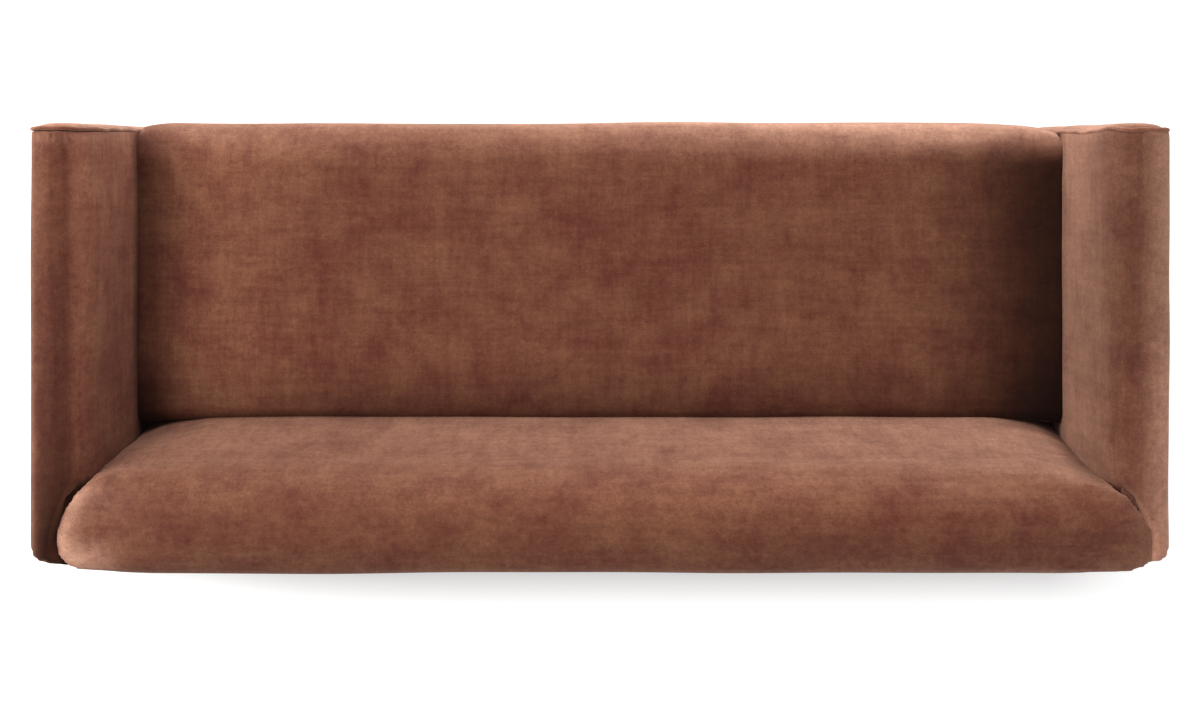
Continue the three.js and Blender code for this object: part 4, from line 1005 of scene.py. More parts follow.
def soften_inner_edge(co, side):
    """Widens the roll at an arm's inner top edge, so that the inner face turns slowly into the top."""
    below = np.clip(ARM_HIGH.z - co[:, 2], 0, ARM_ROLL_HEIGHT)
    wide, tight = (1 - np.sqrt(1 - (1 - np.minimum(below, height) / height) ** 2)
                   for height in (ARM_ROLL_HEIGHT, ARM_INNER_RADIUS))
    across = (np.abs(co[:, 0]) - ARM_INNER) / (ARM_OUTER - ARM_INNER)
    co[:, 0] += side * ARM_INNER_RADIUS * (wide - tight) * (1 - smoothstep(across, 0.3, 0.5))
    return co


def covered_rail(side):
    """The arm's cover where it runs on under the pillow end, over the top rail."""
    inner = ARM_INNER + COVERED_INSET
    outer = ARM_INNER - PILLOW_OVERLAP + PILLOW_RIGHT_REACH + COVERED_OUTSET
    low, high = FRAME_TOP + GAP, FRAME_TOP + PILLOW_FLOOR - GAP
    front, rear = PILLOW_FRONT + COVERED_FRONT_INSET, ARM_HIGH.y - COVERED_REAR_INSET
    rings = []
    for x in (side * inner, side * outer):
        rings.append([(x, front, low), (x, rear, low), (x, rear, high), (x, front, high)])
    return loft("covered_rail", rings)


def build_arms():
    """Both arm pads, rolled down round the pillow ends and pleated round the rear corners."""
    for name, side in SIDES.items():
        pad = soft_copy(f"{name}_arm_pad", f"{name}_arm", square=0.005, relax=6)
        place_points(pad, soften_inner_edge(roll_into_crevice(points_of(pad)), side))
        pad = smoothed(pad, 6)
        swell(pad, size=0.22, depth=0.0009, seed=21 + side)
        corner = (side * (ARM_OUTER - REAR_CORNER_RADIUS), ARM_HIGH.y - REAR_CORNER_RADIUS)
        angles = (28, 50, 71) if side > 0 else (152, 130, 109)
        pleat(pad, corner, REAR_CORNER_RADIUS, angles, depth=0.0011)
        drawn_to_welt(pad)
        place_points(pad, pulled_front_edge(points_of(pad)))
        pad = joined([pad, covered_rail(side)])
        tone_arm(pad, side)
        finished(pad, f"{name}_arm_pad", velvet("arm"))


def build_arm_fronts():
    """Both padded arm fronts."""
    for name, side in SIDES.items():
        panel = soft_copy(f"{name}_arm_front_panel", f"{name}_arm_front", square=0.004, relax=12)
        place_points(panel, soften_inner_edge(points_of(panel), side))
        swell(panel, size=0.16, depth=0.0007, seed=31)
        place_points(panel, pulled_front_edge(points_of(panel)))
        finished(panel, f"{name}_arm_front_panel", velvet("upright"))


def welt_route(side):
    """The centre line of an arm's welt: up the inner side, over the top and down the outer side."""
    inner, outer = WELT_LOW.x + WELT_RADIUS, WELT_HIGH.x - WELT_RADIUS
    top = WELT_HIGH.z - WELT_RADIUS
    depth = (WELT_LOW.y + WELT_HIGH.y) / 2 - (WELT_FORWARD if side > 0 else WELT_RIGHT_FORWARD)
    inset = inner - ARM_INNER
    inner_radius, outer_radius = ARM_INNER_RADIUS - inset, ARM_OUTER_RADIUS - inset
    outline = [(inner, z) for z in np.linspace(WELT_LOW.z, top - inner_radius, 50)]
    outline += arc((inner + inner_radius, top - inner_radius), (inner_radius, inner_radius), 180, 90, 10)[1:]
    outline += arc((outer - outer_radius, top - outer_radius), (outer_radius, outer_radius), 90, 0, 10)
    outline += [(outer, z) for z in np.linspace(top - outer_radius, WELT_LOW.z, 50)[1:]]
    co = pulled_front_edge(soften_inner_edge(np.array([(side * x, depth, z) for x, z in outline]), side))
    x, _, z = co.T
    co[:, 1] += 0.0009 * np.sin(z * 71 + side) + 0.0006 * np.sin(x * 160 + z * 33)
    return co


def skin_end(graph, end, curve, profile, finish):
    """Ends a tree with a round skin along a curve."""
    skin = graph.node("GeometryNodeCurveToMesh", {
        "Curve": curve, "Profile Curve": profile, "Fill Caps": True})
    real = graph.node("GeometryNodeRealizeInstances", {"Geometry": skin.outputs[0]})
    shown = graph.node("GeometryNodeSetMaterial", {"Geometry": real.outputs[0], "Material": finish})
    graph.tree.links.new(shown.outputs[0], end.inputs["Geometry"])
    return graph.tree


def welt_tree():
    """Geometry nodes that wrap a cord in a round skin along a line of edges."""
    graph, given, end = group_tree("Welt along a line", "GeometryNodeTree", {
        "Line": GEOMETRY, "Radius": WELT_RADIUS, "Step": 0.003, "Sides": 14, "Finish": FINISH,
    }, {"Geometry": GEOMETRY})
    curve = graph.node("GeometryNodeMeshToCurve", {"Mesh": given["Line"]}).outputs[0]
    even = graph.node("GeometryNodeResampleCurve", {"Curve": curve, "Length": given["Step"]}, mode="LENGTH")
    profile = graph.node("GeometryNodeCurvePrimitiveCircle", {
        "Resolution": given["Sides"], "Radius": given["Radius"]})
    return skin_end(graph, end, even.outputs[0], profile.outputs[0], given["Finish"])


def run_tree(obj, tree, values):
    """Runs a geometry node tree on an object, with its inputs set by name, and keeps the plain mesh."""
    modifier = obj.modifiers.new("Nodes", "NODES")
    modifier.node_group = tree
    for item in tree.interface.items_tree:
        if item.in_out == "INPUT" and item.name in values:
            modifier[item.identifier] = values[item.name]
    return with_modifiers_applied(obj)


def build_welts():
    """Both welts, velvet over cord, along the edges of the arm fronts."""
    tree = welt_tree()
    for name, side in SIDES.items():
        route = welt_route(side)
        edges = [(i, i + 1) for i in range(len(route) - 1)]
        line = new_object(f"{name}_welt", route, [], edges)
        welt = face_outwards(run_tree(line, tree, {"Finish": velvet("welt")}))
        finished(welt, f"{name}_arm_front_welt", velvet("welt"))


def build_outside():
    """The outside arms and the outside back, stretched over thin padding."""
    for name in SIDES:
        panel = soft_copy(f"{name}_outside_arm_panel", f"{name}_outside_arm", square=0.0055, relax=4)
        swell(panel, size=0.3, depth=0.0006, seed=41)
        finished(panel, f"{name}_outside_arm_panel", velvet("upright"))
    back = soft_copy("outside_back_panel", "outside_back", square=0.0065, relax=4)
    swell(back, size=0.4, depth=0.0007, seed=43)
    finished(back, "outside_back_panel", velvet("upright"))


def build_border():
    """The padded border under the front of the cushion."""
    border = soft_copy("front_border", "front_border_cover", square=0.0055, relax=6)
    swell(border, size=0.25, depth=0.0008, seed=51)
    finished(border, "front_border", velvet("welt"))


def cushion_outline(draw, rear_draw, front_draw, height):
    """The cushion's outline at a height, drawn in from its largest."""
    half = SEAT_HIGH.x - draw
    front = SEAT_LOW.y + front_draw
    rear = back_face(height, 0.0) - CUSHION_REAR_GAP - rear_draw
    side_front, side_rear = front + CUSHION_CORNER_DEPTH, rear - CUSHION_REAR_CORNER
    rear_corner = (CUSHION_REAR_CORNER, CUSHION_REAR_CORNER)
    front_corner = (CUSHION_CORNER_WIDTH, CUSHION_CORNER_DEPTH)
    front_half, rear_half = half - CUSHION_CORNER_WIDTH, half - CUSHION_REAR_CORNER
    outline = [(x, front) for x in np.linspace(-front_half, front_half, 60)]
    outline += arc((front_half, side_front), front_corner, -90, 0, 12)[1:]
    outline += [(half, y) for y in np.linspace(side_front, side_rear, 24)[1:]]
    outline += arc((rear_half, side_rear), rear_corner, 0, 90, 8)[1:]
    outline += [(x, rear) for x in np.linspace(rear_half, -rear_half, 60)[1:]]
    outline += arc((-rear_half, side_rear), rear_corner, 90, 180, 8)[1:]
    outline += [(-half, y) for y in np.linspace(side_rear, side_front, 24)[1:]]
    outline += arc((-front_half, side_front), front_corner, 180, 270, 12)[1:-1]
    x, y = np.array(outline).T
    right = np.clip((-x - (SEAT_HIGH.x - CUSHION_RIGHT_LENGTH)) / CUSHION_RIGHT_LENGTH, 0, 1) ** 2
    ahead = np.clip((rear - y) / (rear - front), 0, 1) ** 3
    end = np.clip((np.abs(x) - ARM_INNER + BACK_END_LENGTH) / BACK_END_LENGTH, 0, 1) ** BACK_END_POWER
    ear = CUSHION_EAR * end * (1 - np.minimum((rear - y) / CUSHION_EAR_LENGTH, 1))
    return np.column_stack([x, y + CUSHION_RIGHT_DRAW * right * ahead + ear, np.full(len(x), height)])


def pressed_home(co):
    """Presses the cushion's top edges against the inside back and the arms."""
    aside = np.abs(co[:, 0])
    high = smoothstep(co[:, 2], SEAT_HIGH.z - 0.06, SEAT_HIGH.z - 0.015)
    near = smoothstep(co[:, 1], BACK_JOIN - 0.07, BACK_JOIN - 0.012) * (1 - smoothstep(aside, 0.88, 0.96))
    co[:, 1] += 0.007 * high * near
    co[:, 2] += 0.004 * high * near
    beside = high * smoothstep(aside, 0.88, 0.955)
    ahead = smoothstep(-co[:, 1], 0.3, 0.4)
    co[:, 0] += (0.012 + 0.012 * ahead) * np.sign(co[:, 0]) * beside
    co[:, 2] += (0.009 + 0.012 * ahead) * beside
    return co


def tone_cushion(cushion):
    """Paints shade and light on the cushion: painted shade beside the arms and before the back, painted light
    at the left and towards the front, and painted sheen and highlights along its front edge.
    """
    x, y, _ = points_of(cushion).T
    right = smoothstep(-x, 0.65, SEAT_HIGH.x - 0.02)
    left = smoothstep(x, 0.85, SEAT_HIGH.x - 0.01)
    rear = smoothstep(y, 0.02, BACK_JOIN)
    ahead = 1 - smoothstep(y, SEAT_LOW.y + 0.012, SEAT_LOW.y + 0.1)
    rightward = smoothstep(-x, -0.4, 0.8)
    leftward = smoothstep(x, 0.55, 0.85)
    # Painted shade beside both arms, strongest at the right and away from the front, and before the back
    kept = 1 - np.minimum(1.25 * ahead, 1)
    sides = (1 - (0.84 + 0.08 * rear) * right * kept) * (1 - (0.5 + 0.35 * rear) * left * (1 - 0.5 * ahead))
    edge = 1 - 0.4 * smoothstep(y, BACK_JOIN - 0.03, BACK_JOIN - 0.008)
    edge *= 1 - 0.16 * smoothstep(y, BACK_JOIN - 0.13, BACK_JOIN - 0.03)
    # Painted light: paler at the left and towards the front
    lit = 0.76 * (1 - 0.2 * rear) * (1 + 0.38 * leftward * (1 - ahead)) * (1 + 0.25 * ahead)
    keep_value(cushion, "shade", lit * sides * edge)
    # Painted sheen and painted highlights along the front edge, stronger towards the right
    keep_value(cushion, "painted_sheen", (0.5 + 1.0 * rightward) * ahead + 0.15)
    keep_value(cushion, "painted_highlight", (0.13 + 0.27 * rightward) * ahead)


def build_seat_cushion():
    """The loose bench cushion: boxed, full at the front and crowned on top."""
    bottom = SEAT_LOW.z
    top = SEAT_HIGH.z - CUSHION_CROWN
    rings = [cushion_outline(*[CUSHION_FOOT_INSET] * 3, bottom)]
    for angle in np.linspace(0, math.pi / 2, 6):
        lift = CUSHION_FOOT * (1 - math.cos(angle))
        draw = CUSHION_FOOT * (1 - math.sin(angle))
        front = CUSHION_FRONT_FOOT * (1 - 0.75 * math.sin(angle))
        rings.append(cushion_outline(draw, draw, front, bottom + lift))
    side_top = top - CUSHION_EDGE_HEIGHT
    for share in np.linspace(0, 1, 8)[1:]:
        height = bottom + CUSHION_FOOT + (side_top - bottom - CUSHION_FOOT) * share
        front = 0.25 * CUSHION_FRONT_FOOT * (1 - math.sin(share * math.pi / 2))
        rings.append(cushion_outline(0.0, 0.0, front, height))
    for angle in np.linspace(0, math.pi / 2, 12)[1:]:
        height = side_top + CUSHION_EDGE_HEIGHT * math.sin(angle)
        drawn = 1 - math.cos(angle)
        sides, rear = CUSHION_SIDE_EDGE * drawn, CUSHION_REAR_EDGE * drawn
        rings.append(cushion_outline(sides, rear, CUSHION_FRONT_EDGE * drawn, height))
    rings.append(cushion_outline(*CUSHION_TOP_INSETS, top))
    rings.append(cushion_outline(*[CUSHION_MIDDLE_INSET] * 3, top))
    cushion = smoothed(remeshed(loft("seat_cushion_cover", rings), square=0.012), 2)
    co = points_of(cushion)
    x, y, z = co.T
    middle, reach = (SEAT_LOW.y + BACK_JOIN) / 2, (BACK_JOIN - SEAT_LOW.y) / 2
    depth = (y - middle) / reach
    fall = (1 - np.abs(x / ARM_INNER) ** 6) * (1 - np.abs(depth) ** np.where(depth > 0, 9, 4))
    co[:, 2] += CUSHION_CROWN * np.maximum(fall, 0) * smoothstep(z, side_top, top)
    place_points(cushion, co)
    normals = normals_of(cushion)
    contact = (normals[:, 2] < -0.5) | (np.abs(normals[:, 0]) > 0.85) | (normals[:, 1] > 0.8)
    cushion = puffed(cushion, pressure=3.0, limit=0.005, hold=np.where(contact, 1.0, 0.0))
    cushion = smoothed(modified(cushion, "SUBSURF", levels=1, render_levels=1), 2)
    swell(cushion, size=0.3, depth=0.0013, seed=61)
    place_points(cushion, pressed_home(points_of(cushion)))
    tone_cushion(cushion)
    finished(cushion, "seat_cushion", velvet("seat"), body="cushion")


def build_deck():
    """The felt pad under plain cloth that the cushion lies on."""
    deck = soft_copy("seat_deck", "deck_pad", square=0.009, relax=4)
    swell(deck, size=0.2, depth=0.0008, seed=71)
    material = cloth("deck_cloth", *DECK_CLOTH, pitch=700, fuzz=0.5, relief=0.0004)
    finished(deck, "seat_deck", material, slot="deck_cloth")


def build_dust_cover():
    """The black cloth under the frame."""
    width, depth = DUST_HIGH.x - DUST_LOW.x, DUST_HIGH.y - DUST_LOW.y
    level = (DUST_LOW.z + DUST_HIGH.z) / 2
    points = []
    for v in np.linspace(0, 1, DUST_ROWS + 1):
        for u in np.linspace(0, 1, DUST_COLUMNS + 1):
            wave = 1 + 0.3 * math.sin(22 * u + 5 * v)
            sag = DUST_SAG * math.sin(math.pi * u) * math.sin(math.pi * v) * wave
            points.append((DUST_LOW.x + width * u, DUST_LOW.y + depth * v, level - max(sag, 0)))
    sheet = solidified(strip("dust_cloth", points, DUST_COLUMNS + 1), DUST_THICKNESS)
    face_outwards(sheet)
    material = cloth("dust_cloth", *DUST_CLOTH, pitch=900, fuzz=0.9, relief=0.0002)
    finished(sheet, "dust_cover", material, slot="dust_cloth")


def build_webbing():
    """The back's straps, woven over and under each other between the rails."""
    foot, head = TACK_RAIL_LOW.y, TOP_RAIL_LOW.y
    heights = [TACK_RAIL_LOW.z, TACK_RAIL_HIGH.z, TOP_RAIL_LOW.z, FRAME_TOP]
    depths = [foot, foot, head, head]
    half = ARM_INNER - STRAP_WIDTH
    pitch = (2 * half - STRAP_WIDTH) / (STRAP_COUNT - 1)
    crossings = np.linspace(TACK_RAIL_HIGH.z, TOP_RAIL_LOW.z, CROSS_STRAP_COUNT + 2)[1:-1]
    wave = STRAP_THICKNESS * 0.55
    shares = np.linspace(0, 1, 5)

    def strap_depth(z):
        """How far back a strap lies at a height, before its weave."""
        return np.interp(z, heights, depths) - GAP - STRAP_THICKNESS

    straps = []
    for number in range(STRAP_COUNT):
        left = -half + pitch * number
        points = []
        for z in np.linspace(TACK_RAIL_LOW.z, FRAME_TOP, 90):
            lift = sum((-1) ** (number + i) * bell(z, c, STRAP_WIDTH) for i, c in enumerate(crossings))
            points += [(left + STRAP_WIDTH * share, strap_depth(z) + wave * lift, z) for share in shares]
        straps.append(strip("strap", points, len(shares)))
    for i, centre in enumerate(crossings):
        points = []
        for x in np.linspace(-half, half, 160):
            lift = math.cos(math.pi * (x + half - STRAP_WIDTH / 2) / pitch) * (-1) ** i
            for z in centre + STRAP_WIDTH * (shares - 0.5):
                points.append((x, strap_depth(z) - wave * lift, z))
        straps.append(strip("strap", points, len(shares)))
    webbing = solidified(joined(straps), STRAP_THICKNESS)
    webbing.name = "back_straps"
    face_outwards(webbing)
    material = cloth("jute", *JUTE, pitch=420, fuzz=0.5, relief=0.0004)
    finished(webbing, "back_webbing", material, slot="webbing")


def strip(name, points, across):
    """A band of squares through rows of points."""
    faces = []
    for row in range(len(points) // across - 1):
        for i in range(across - 1):
            a = row * across + i
            faces.append((a, a + 1, a + across + 1, a + across))
    return new_object(name, points, faces)


def spring_tree():
    """Geometry nodes that bend one sinuous spring: straight bars across, joined by half-round bends."""
    graph, given, end = group_tree("Sinuous spring", "GeometryNodeTree", {
        "Line": GEOMETRY, "Place": 0.0, "Start": 0.0, "End": 1.0, "Height": 0.0,
        "Width": SPRING_WIDTH, "Arch": SPRING_ARCH, "Half waves": 2 * SPRING_CURLS, "Steps": 14,
        "Wire radius": WIRE_RADIUS, "Finish": FINISH,
    }, {"Geometry": GEOMETRY})
    add, minus, times, over = graph.add, graph.minus, graph.times, graph.over
    span = minus(given["End"], given["Start"])
    pitch = over(span, given["Half waves"])
    bend = times(pitch, 0.5)
    reach = minus(times(given["Width"], 0.5), bend)
    count = add(times(given["Half waves"], given["Steps"]), 1)
    line = graph.node("GeometryNodeMeshLine", {"Count": count})
    index = graph.node("GeometryNodeInputIndex").outputs[0]
    wave = graph.math("FLOOR", over(add(index, 0.001), given["Steps"]))
    turn = over(minus(index, times(wave, given["Steps"])), given["Steps"])
    side = minus(times(graph.math("MODULO", wave, 2), -2), -1)
    straight = times(reach, 2)
    run = times(turn, add(straight, times(bend, math.pi)))
    bar = graph.math("MINIMUM", run, straight)
    angle = over(minus(run, bar), bend)
    x = add(minus(bar, reach), times(bend, graph.math("SINE", angle)))
    y = add(times(wave, pitch), times(bend, minus(1, graph.math("COSINE", angle))))
    share = over(y, span)
    lift = times(times(share, minus(1, share)), times(given["Arch"], 4))
    place = graph.node("ShaderNodeCombineXYZ", {
        0: add(times(x, side), given["Place"]), 1: add(given["Start"], y), 2: add(given["Height"], lift)})
    moved = graph.node("GeometryNodeSetPosition", {"Geometry": line.outputs[0], "Position": place.outputs[0]})
    curve = graph.node("GeometryNodeMeshToCurve", {"Mesh": moved.outputs[0]})
    ring = graph.node("GeometryNodeCurvePrimitiveCircle", {"Resolution": 8, "Radius": given["Wire radius"]})
    return skin_end(graph, end, curve.outputs[0], ring.outputs[0], given["Finish"])


def spring_clip(x, y, opening):
    """One folded clip on its rail."""
    base = RAIL_TOP + GAP
    profile = [(-0.009, 0.0), (0.0035, 0.0)]
    profile += [(0.0008 + 0.0037 * math.cos(a), 0.0037 + 0.0037 * math.sin(a))
                for a in np.radians([-60, -20, 30, 70, 110, 150])]
    profile += [(-0.0016, 0.0052), (0.0008, 0.0058), (0.0026, 0.0042), (0.0022, CLIP_THICKNESS),
                (-0.009, CLIP_THICKNESS)]
    outline = [(y + opening * u, base + v) for u, v in profile]
    return loft("clip", [[(x + dx, *place) for place in outline] for dx in (-CLIP_WIDTH / 2, CLIP_WIDTH / 2)])


def build_springs():
    """Eight sinuous springs with their clips."""
    tree = spring_tree()
    steel = plain_surface("spring_steel", (0.42, 0.43, 0.44), rough=0.34, metal=1.0, mottle_scale=300.0)
    start, end = RAILS_INNER[0] - CLIP_INSET, RAILS_INNER[1] + CLIP_INSET
    for number in range(1, 9):
        node = f"seat_spring_{number}"
        low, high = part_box(node)
        x = (low.x + high.x) / 2
        line = new_object(f"spring_wire_{number}", [(0, 0, 0), (0, 0, 1)], [], [(0, 1)])
        wire = run_tree(line, tree, {
            "Place": x, "Start": start, "End": end, "Height": low.z + CLIP_THICKNESS + WIRE_RADIUS,
            "Finish": steel})
        spring = joined([wire, spring_clip(x, start, 1), spring_clip(x, end, -1)])
        finished(face_outwards(spring), node, steel, slot="spring_steel")


# Finishes of the frame nodes that stay

def dress(node, material):
    """Gives a frame node its finish."""
    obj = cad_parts[node]
    if not obj.material_slots:
        obj.data.materials.append(material)
    for slot in obj.material_slots:
        slot.material = material


def longest_axis(node):
    """The axis along which a node is longest."""
    low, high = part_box(node)
    size = high - low
    return "xyz"[max(range(3), key=lambda i: size[i])]


def finish_frame():
    """Beech for the rails, posts and ribs, walnut for the legs and nylon for the glides."""
    nylon = plain_surface("nylon", (0.5, 0.47, 0.4), rough=0.4, metal=0.0, mottle_scale=120.0)
    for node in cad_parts:
        if node.endswith("_leg"):
            polish = {"Coat_Weight": 0.4, "Coat_Roughness": 0.25}
            dress(node, wood("walnut", *WALNUT, "z", bands=14.0, pores=0.5, **polish))
        elif node.endswith("_glide"):
            dress(node, nylon)
        elif any(word in node for word in ("rail", "post", "rib", "block", "liner")):
            dress(node, wood("beech", *BEECH, longest_axis(node), bands=16.0, pores=0.35))


# Stage

def floor_material():
    """A pale floor that shows white to the camera, keeps the sofa's soft shadow and has a painted shadow
    under and behind the sofa.
    """
    material, graph, inputs = new_material("pale_floor")
    links = material.node_tree.links
    place = graph.place()
    x, y, _ = graph.node("ShaderNodeSeparateXYZ", {"Vector": place}).outputs
    # Painted shadow: under and behind the sofa the floor is darker and glows less
    beside = graph.ranged(graph.math("ABSOLUTE", x), 1.08, 1.3, 1.0, 0.0)
    under = graph.times(graph.ranged(y, 0.58, 0.72, 1.0, 0.0), graph.ranged(y, -0.4, 0.3, 0.0, 1.0))
    kept = graph.ranged(graph.times(beside, under), 0.0, 1.0, 1.0, 0.3)
    tone = graph.mix(graph.noise(place, 3.0, 2.0), (0.8, 0.8, 0.8, 1.0), (0.84, 0.84, 0.84, 1.0))
    links.new(graph.mix(kept, (0.2, 0.2, 0.2, 1.0), tone), inputs["Base Color"])
    inputs["Roughness"].default_value = 0.9
    inputs["Specular IOR Level"].default_value = 0.1
    glow = graph.times(graph.times(graph.seen(), FLOOR_GLOW), kept)
    links.new(glow, inputs["Emission Strength"])
    inputs["Emission Color"].default_value = WHITE
    return material


def area_light(name, place, size, power, colour):
    """One soft lamp aimed at the sofa."""
    data = bpy.data.lights.new(name, "AREA")
    data.shape = "RECTANGLE"
    data.size, data.size_y = size
    data.energy = power
    data.color = colour
    lamp = placed(name, data)
    lamp.location = place
    lamp.rotation_euler = (LAMP_TARGET - Vector(place)).to_track_quat("-Z", "Y").to_euler()


def build_stage():
    """Floor, lamps, world light and the camera straight above the sofa."""
    look = bpy.context.scene.sofa_look
    corners = [(x * FLOOR_REACH, y * FLOOR_REACH, 0) for x, y in ((-1, -1), (1, -1), (1, 1), (-1, 1))]
    floor = new_object("floor", corners, [(0, 1, 2, 3)])
    floor.data.materials.append(floor_material())
    world = bpy.data.worlds.new("studio")
    bpy.context.scene.world = world
    world.use_nodes = True
    graph = Graph(world.node_tree)
    inputs = world.node_tree.nodes["Background"].inputs
    inputs["Color"].default_value = WHITE
    strength = graph.ranged(graph.seen(), 0.0, 1.0, look.world_light, 1.0)
    world.node_tree.links.new(strength, inputs["Strength"])
    area_light("left_softbox", (2.5, -1.3, 3.3), (2.2, 2.2), look.left_light, (1.0, 0.98, 0.95))
    area_light("front_softbox", (0.4, -3.4, 2.6), (3.0, 1.6), look.front_light, WHITE[:3])
    area_light("top_softbox", (-0.6, 0.6, 4.4), (3.0, 2.0), look.top_light, WHITE[:3])
    camera_data = bpy.data.cameras.new("camera")
    camera_data.sensor_fit = "HORIZONTAL"
    camera_data.sensor_width = SENSOR_WIDTH
    camera_data.lens = SENSOR_WIDTH * FOCAL_PIXELS / PICTURE_WIDTH
    camera_data.shift_y = (AXIS_ROW - PICTURE_MIDDLE_ROW) / PICTURE_WIDTH
    camera_data.clip_end = CAMERA_REACH
    camera = placed("camera", camera_data)
    camera.location = CAMERA_PLACE
    camera.rotation_euler = (0.0, 0.0, math.pi)
    bpy.context.scene.camera = camera
    bpy.context.scene.view_settings.view_transform = "Standard"


# The add-on

class SofaLook(bpy.types.PropertyGroup):
    """Colours and lights that a user would change."""

    velvet_deep: bpy.props.FloatVectorProperty(
        name="Velvet, deep", description="Colour of the pile where it leans towards the eye",
        default=(0.12, 0.034, 0.022), size=3, min=0, max=1, subtype="COLOR")
    velvet_pale: bpy.props.FloatVectorProperty(
        name="Velvet, pale", description="Colour of the pile where it leans away",
        default=(0.2, 0.083, 0.046), size=3, min=0, max=1, subtype="COLOR")
    # Painted sheen: this colour and the three settings after it mix a pale colour into the velvet where its
    # surface is seen along it
    velvet_painted_sheen: bpy.props.FloatVectorProperty(
        name="Velvet, painted sheen", description="Colour of the pile seen along the surface",
        default=(0.62, 0.34, 0.24), size=3, min=0, max=1, subtype="COLOR")
    painted_sheen: bpy.props.FloatProperty(
        name="Painted sheen", description="Strength of the pale bloom along the surface", default=1.0, min=0, max=2)
    painted_sheen_spread: bpy.props.FloatProperty(
        name="Painted sheen spread", description="How early the bloom begins", default=0.5, min=0.01, max=0.99)
    painted_sheen_power: bpy.props.FloatProperty(
        name="Painted sheen falloff", description="How quickly the bloom rises towards the edge",
        default=1.4, min=0.5, max=8)
    patch_scale: bpy.props.FloatProperty(
        name="Patches per metre", description="How close together the brushed patches lie",
        default=11.0, min=1, max=60)
    patch_contrast: bpy.props.FloatProperty(
        name="Patch contrast", description="How strongly the brushed patches differ",
        default=0.88, min=0, max=3)
    thread_contrast: bpy.props.FloatProperty(
        name="Thread contrast", description="How strongly the fine threads and specks of the pile differ",
        default=2.6, min=0, max=6)
    pile_relief: bpy.props.FloatProperty(
        name="Pile relief", description="Depth of the lean of the pile", default=0.0018, min=0, max=0.01,
        unit="LENGTH")
    sheen: bpy.props.FloatProperty(
        name="Sheen", description="Brightness of the pile seen along the surface", default=0.07, min=0, max=1,
        subtype="FACTOR")
    sheen_spread: bpy.props.FloatProperty(
        name="Sheen spread", description="How wide the sheen spreads", default=0.4, min=0, max=1,
        subtype="FACTOR")
    sheen_tint: bpy.props.FloatVectorProperty(
        name="Sheen colour", description="Colour of the sheen",
        default=(1.0, 0.62, 0.5), size=3, min=0, max=1, subtype="COLOR")
    world_light: bpy.props.FloatProperty(
        name="World light", description="Strength of the even light", default=0.4, min=0, max=3)
    left_light: bpy.props.FloatProperty(
        name="Left light", description="Power of the soft lamp at the sitter's left", default=120.0, min=0,
        unit="POWER")
    front_light: bpy.props.FloatProperty(
        name="Front light", description="Power of the soft lamp in front", default=90.0, min=0, unit="POWER")
    top_light: bpy.props.FloatProperty(
        name="Top light", description="Power of the soft lamp above", default=40.0, min=0, unit="POWER")


class SOFA_OT_stage(bpy.types.Operator):
    """Set the floor, lamps and camera"""
    bl_idname = "sofa.stage"
    bl_label = "Stage"

    def execute(self, context):
        build_stage()
        return {"FINISHED"}


class SOFA_OT_inside_back(bpy.types.Operator):
    """Upholster the inside back"""
    bl_idname = "sofa.inside_back"
    bl_label = "Inside back"

    def execute(self, context):
        build_inside_back()
        return {"FINISHED"}


class SOFA_OT_arms(bpy.types.Operator):
    """Upholster both arms"""
    bl_idname = "sofa.arms"
    bl_label = "Arms"

    def execute(self, context):
        build_arms()
        return {"FINISHED"}


class SOFA_OT_arm_fronts(bpy.types.Operator):
    """Close the arms with padded fronts"""
    bl_idname = "sofa.arm_fronts"
    bl_label = "Arm fronts"

    def execute(self, context):
        build_arm_fronts()
        return {"FINISHED"}


class SOFA_OT_welts(bpy.types.Operator):
    """Lay the welts round the arm fronts"""
    bl_idname = "sofa.welts"
    bl_label = "Welts"

    def execute(self, context):
        build_welts()
        return {"FINISHED"}


class SOFA_OT_outside(bpy.types.Operator):
    """Cover the outside arms and the outside back"""
    bl_idname = "sofa.outside"
    bl_label = "Outside panels"

    def execute(self, context):
        build_outside()
        return {"FINISHED"}


class SOFA_OT_border(bpy.types.Operator):
    """Pad the border under the cushion"""
    bl_idname = "sofa.border"
    bl_label = "Front border"

    def execute(self, context):
        build_border()
        return {"FINISHED"}


class SOFA_OT_seat_cushion(bpy.types.Operator):
    """Stuff and sew the bench cushion"""
    bl_idname = "sofa.seat_cushion"
    bl_label = "Seat cushion"

    def execute(self, context):
        build_seat_cushion()
        return {"FINISHED"}


class SOFA_OT_deck(bpy.types.Operator):
    """Pad and cover the seat deck"""
    bl_idname = "sofa.deck"
    bl_label = "Seat deck"

    def execute(self, context):
        build_deck()
        return {"FINISHED"}


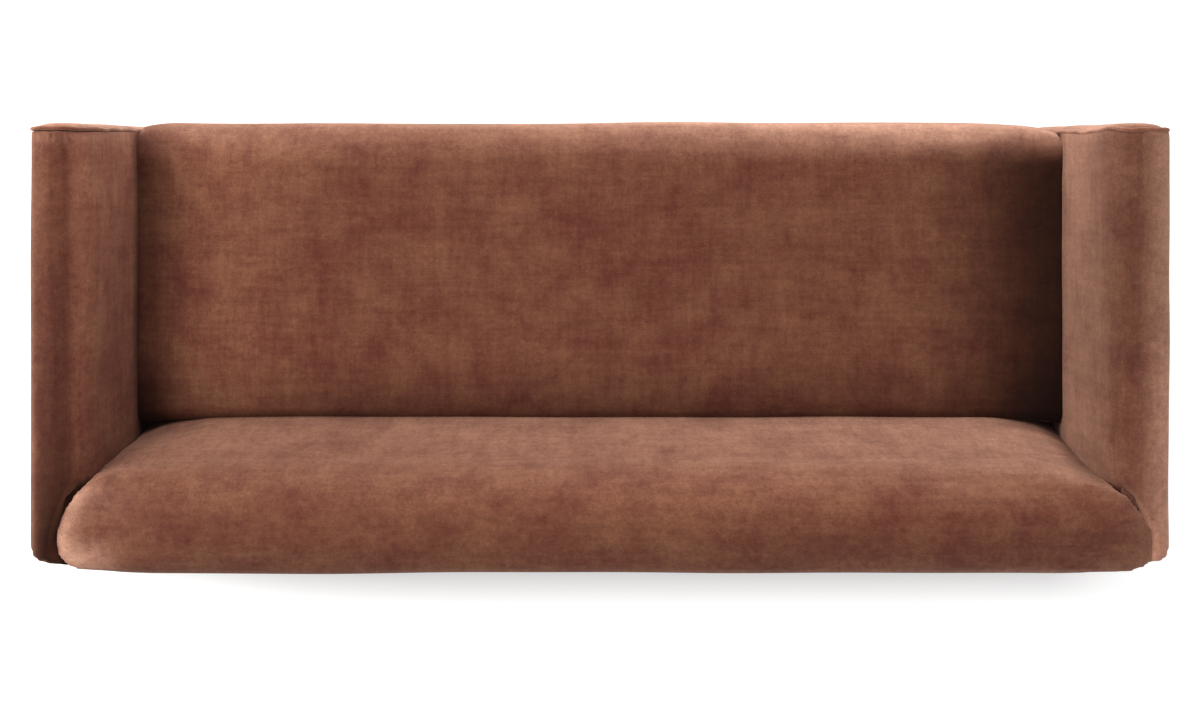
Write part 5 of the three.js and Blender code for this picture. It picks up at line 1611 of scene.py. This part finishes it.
class SOFA_OT_dust_cover(bpy.types.Operator):
    """Lay the dust cloth under the frame"""
    bl_idname = "sofa.dust_cover"
    bl_label = "Dust cover"

    def execute(self, context):
        build_dust_cover()
        return {"FINISHED"}


class SOFA_OT_webbing(bpy.types.Operator):
    """Weave the back's straps"""
    bl_idname = "sofa.webbing"
    bl_label = "Back webbing"

    def execute(self, context):
        build_webbing()
        return {"FINISHED"}


class SOFA_OT_springs(bpy.types.Operator):
    """Bend the sinuous springs and their clips"""
    bl_idname = "sofa.springs"
    bl_label = "Seat springs"

    def execute(self, context):
        build_springs()
        return {"FINISHED"}


class SOFA_OT_frame_finish(bpy.types.Operator):
    """Finish the wooden frame, legs and glides"""
    bl_idname = "sofa.frame_finish"
    bl_label = "Frame finish"

    def execute(self, context):
        finish_frame()
        return {"FINISHED"}


STEPS = (
    SOFA_OT_stage, SOFA_OT_frame_finish, SOFA_OT_springs, SOFA_OT_webbing, SOFA_OT_deck,
    SOFA_OT_dust_cover, SOFA_OT_seat_cushion, SOFA_OT_inside_back, SOFA_OT_arms, SOFA_OT_arm_fronts,
    SOFA_OT_welts, SOFA_OT_outside, SOFA_OT_border,
)


class SOFA_PT_panel(bpy.types.Panel):
    """Lists the sofa's looks and pieces"""
    bl_idname = "SOFA_PT_panel"
    bl_label = "Tuxedo sofa"
    bl_space_type = "VIEW_3D"
    bl_region_type = "UI"
    bl_category = "Sofa"

    def draw(self, context):
        look = context.scene.sofa_look
        for name in look.__annotations__:
            self.layout.prop(look, name)
        for step in STEPS:
            self.layout.operator(step.bl_idname)


CLASSES = (SofaLook, *STEPS, SOFA_PT_panel)


def register():
    """Registers the add-on's classes and its settings."""
    for cls in CLASSES:
        bpy.utils.register_class(cls)
    bpy.types.Scene.sofa_look = bpy.props.PointerProperty(type=SofaLook)


def unregister():
    """Removes the settings and classes."""
    del bpy.types.Scene.sofa_look
    for cls in reversed(CLASSES):
        bpy.utils.unregister_class(cls)


def main():
    """Builds every piece in order."""
    register()
    for step in STEPS:
        group, name = step.bl_idname.split(".")
        getattr(getattr(bpy.ops, group), name)()
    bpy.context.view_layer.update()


if __name__ == "__main__":
    main()
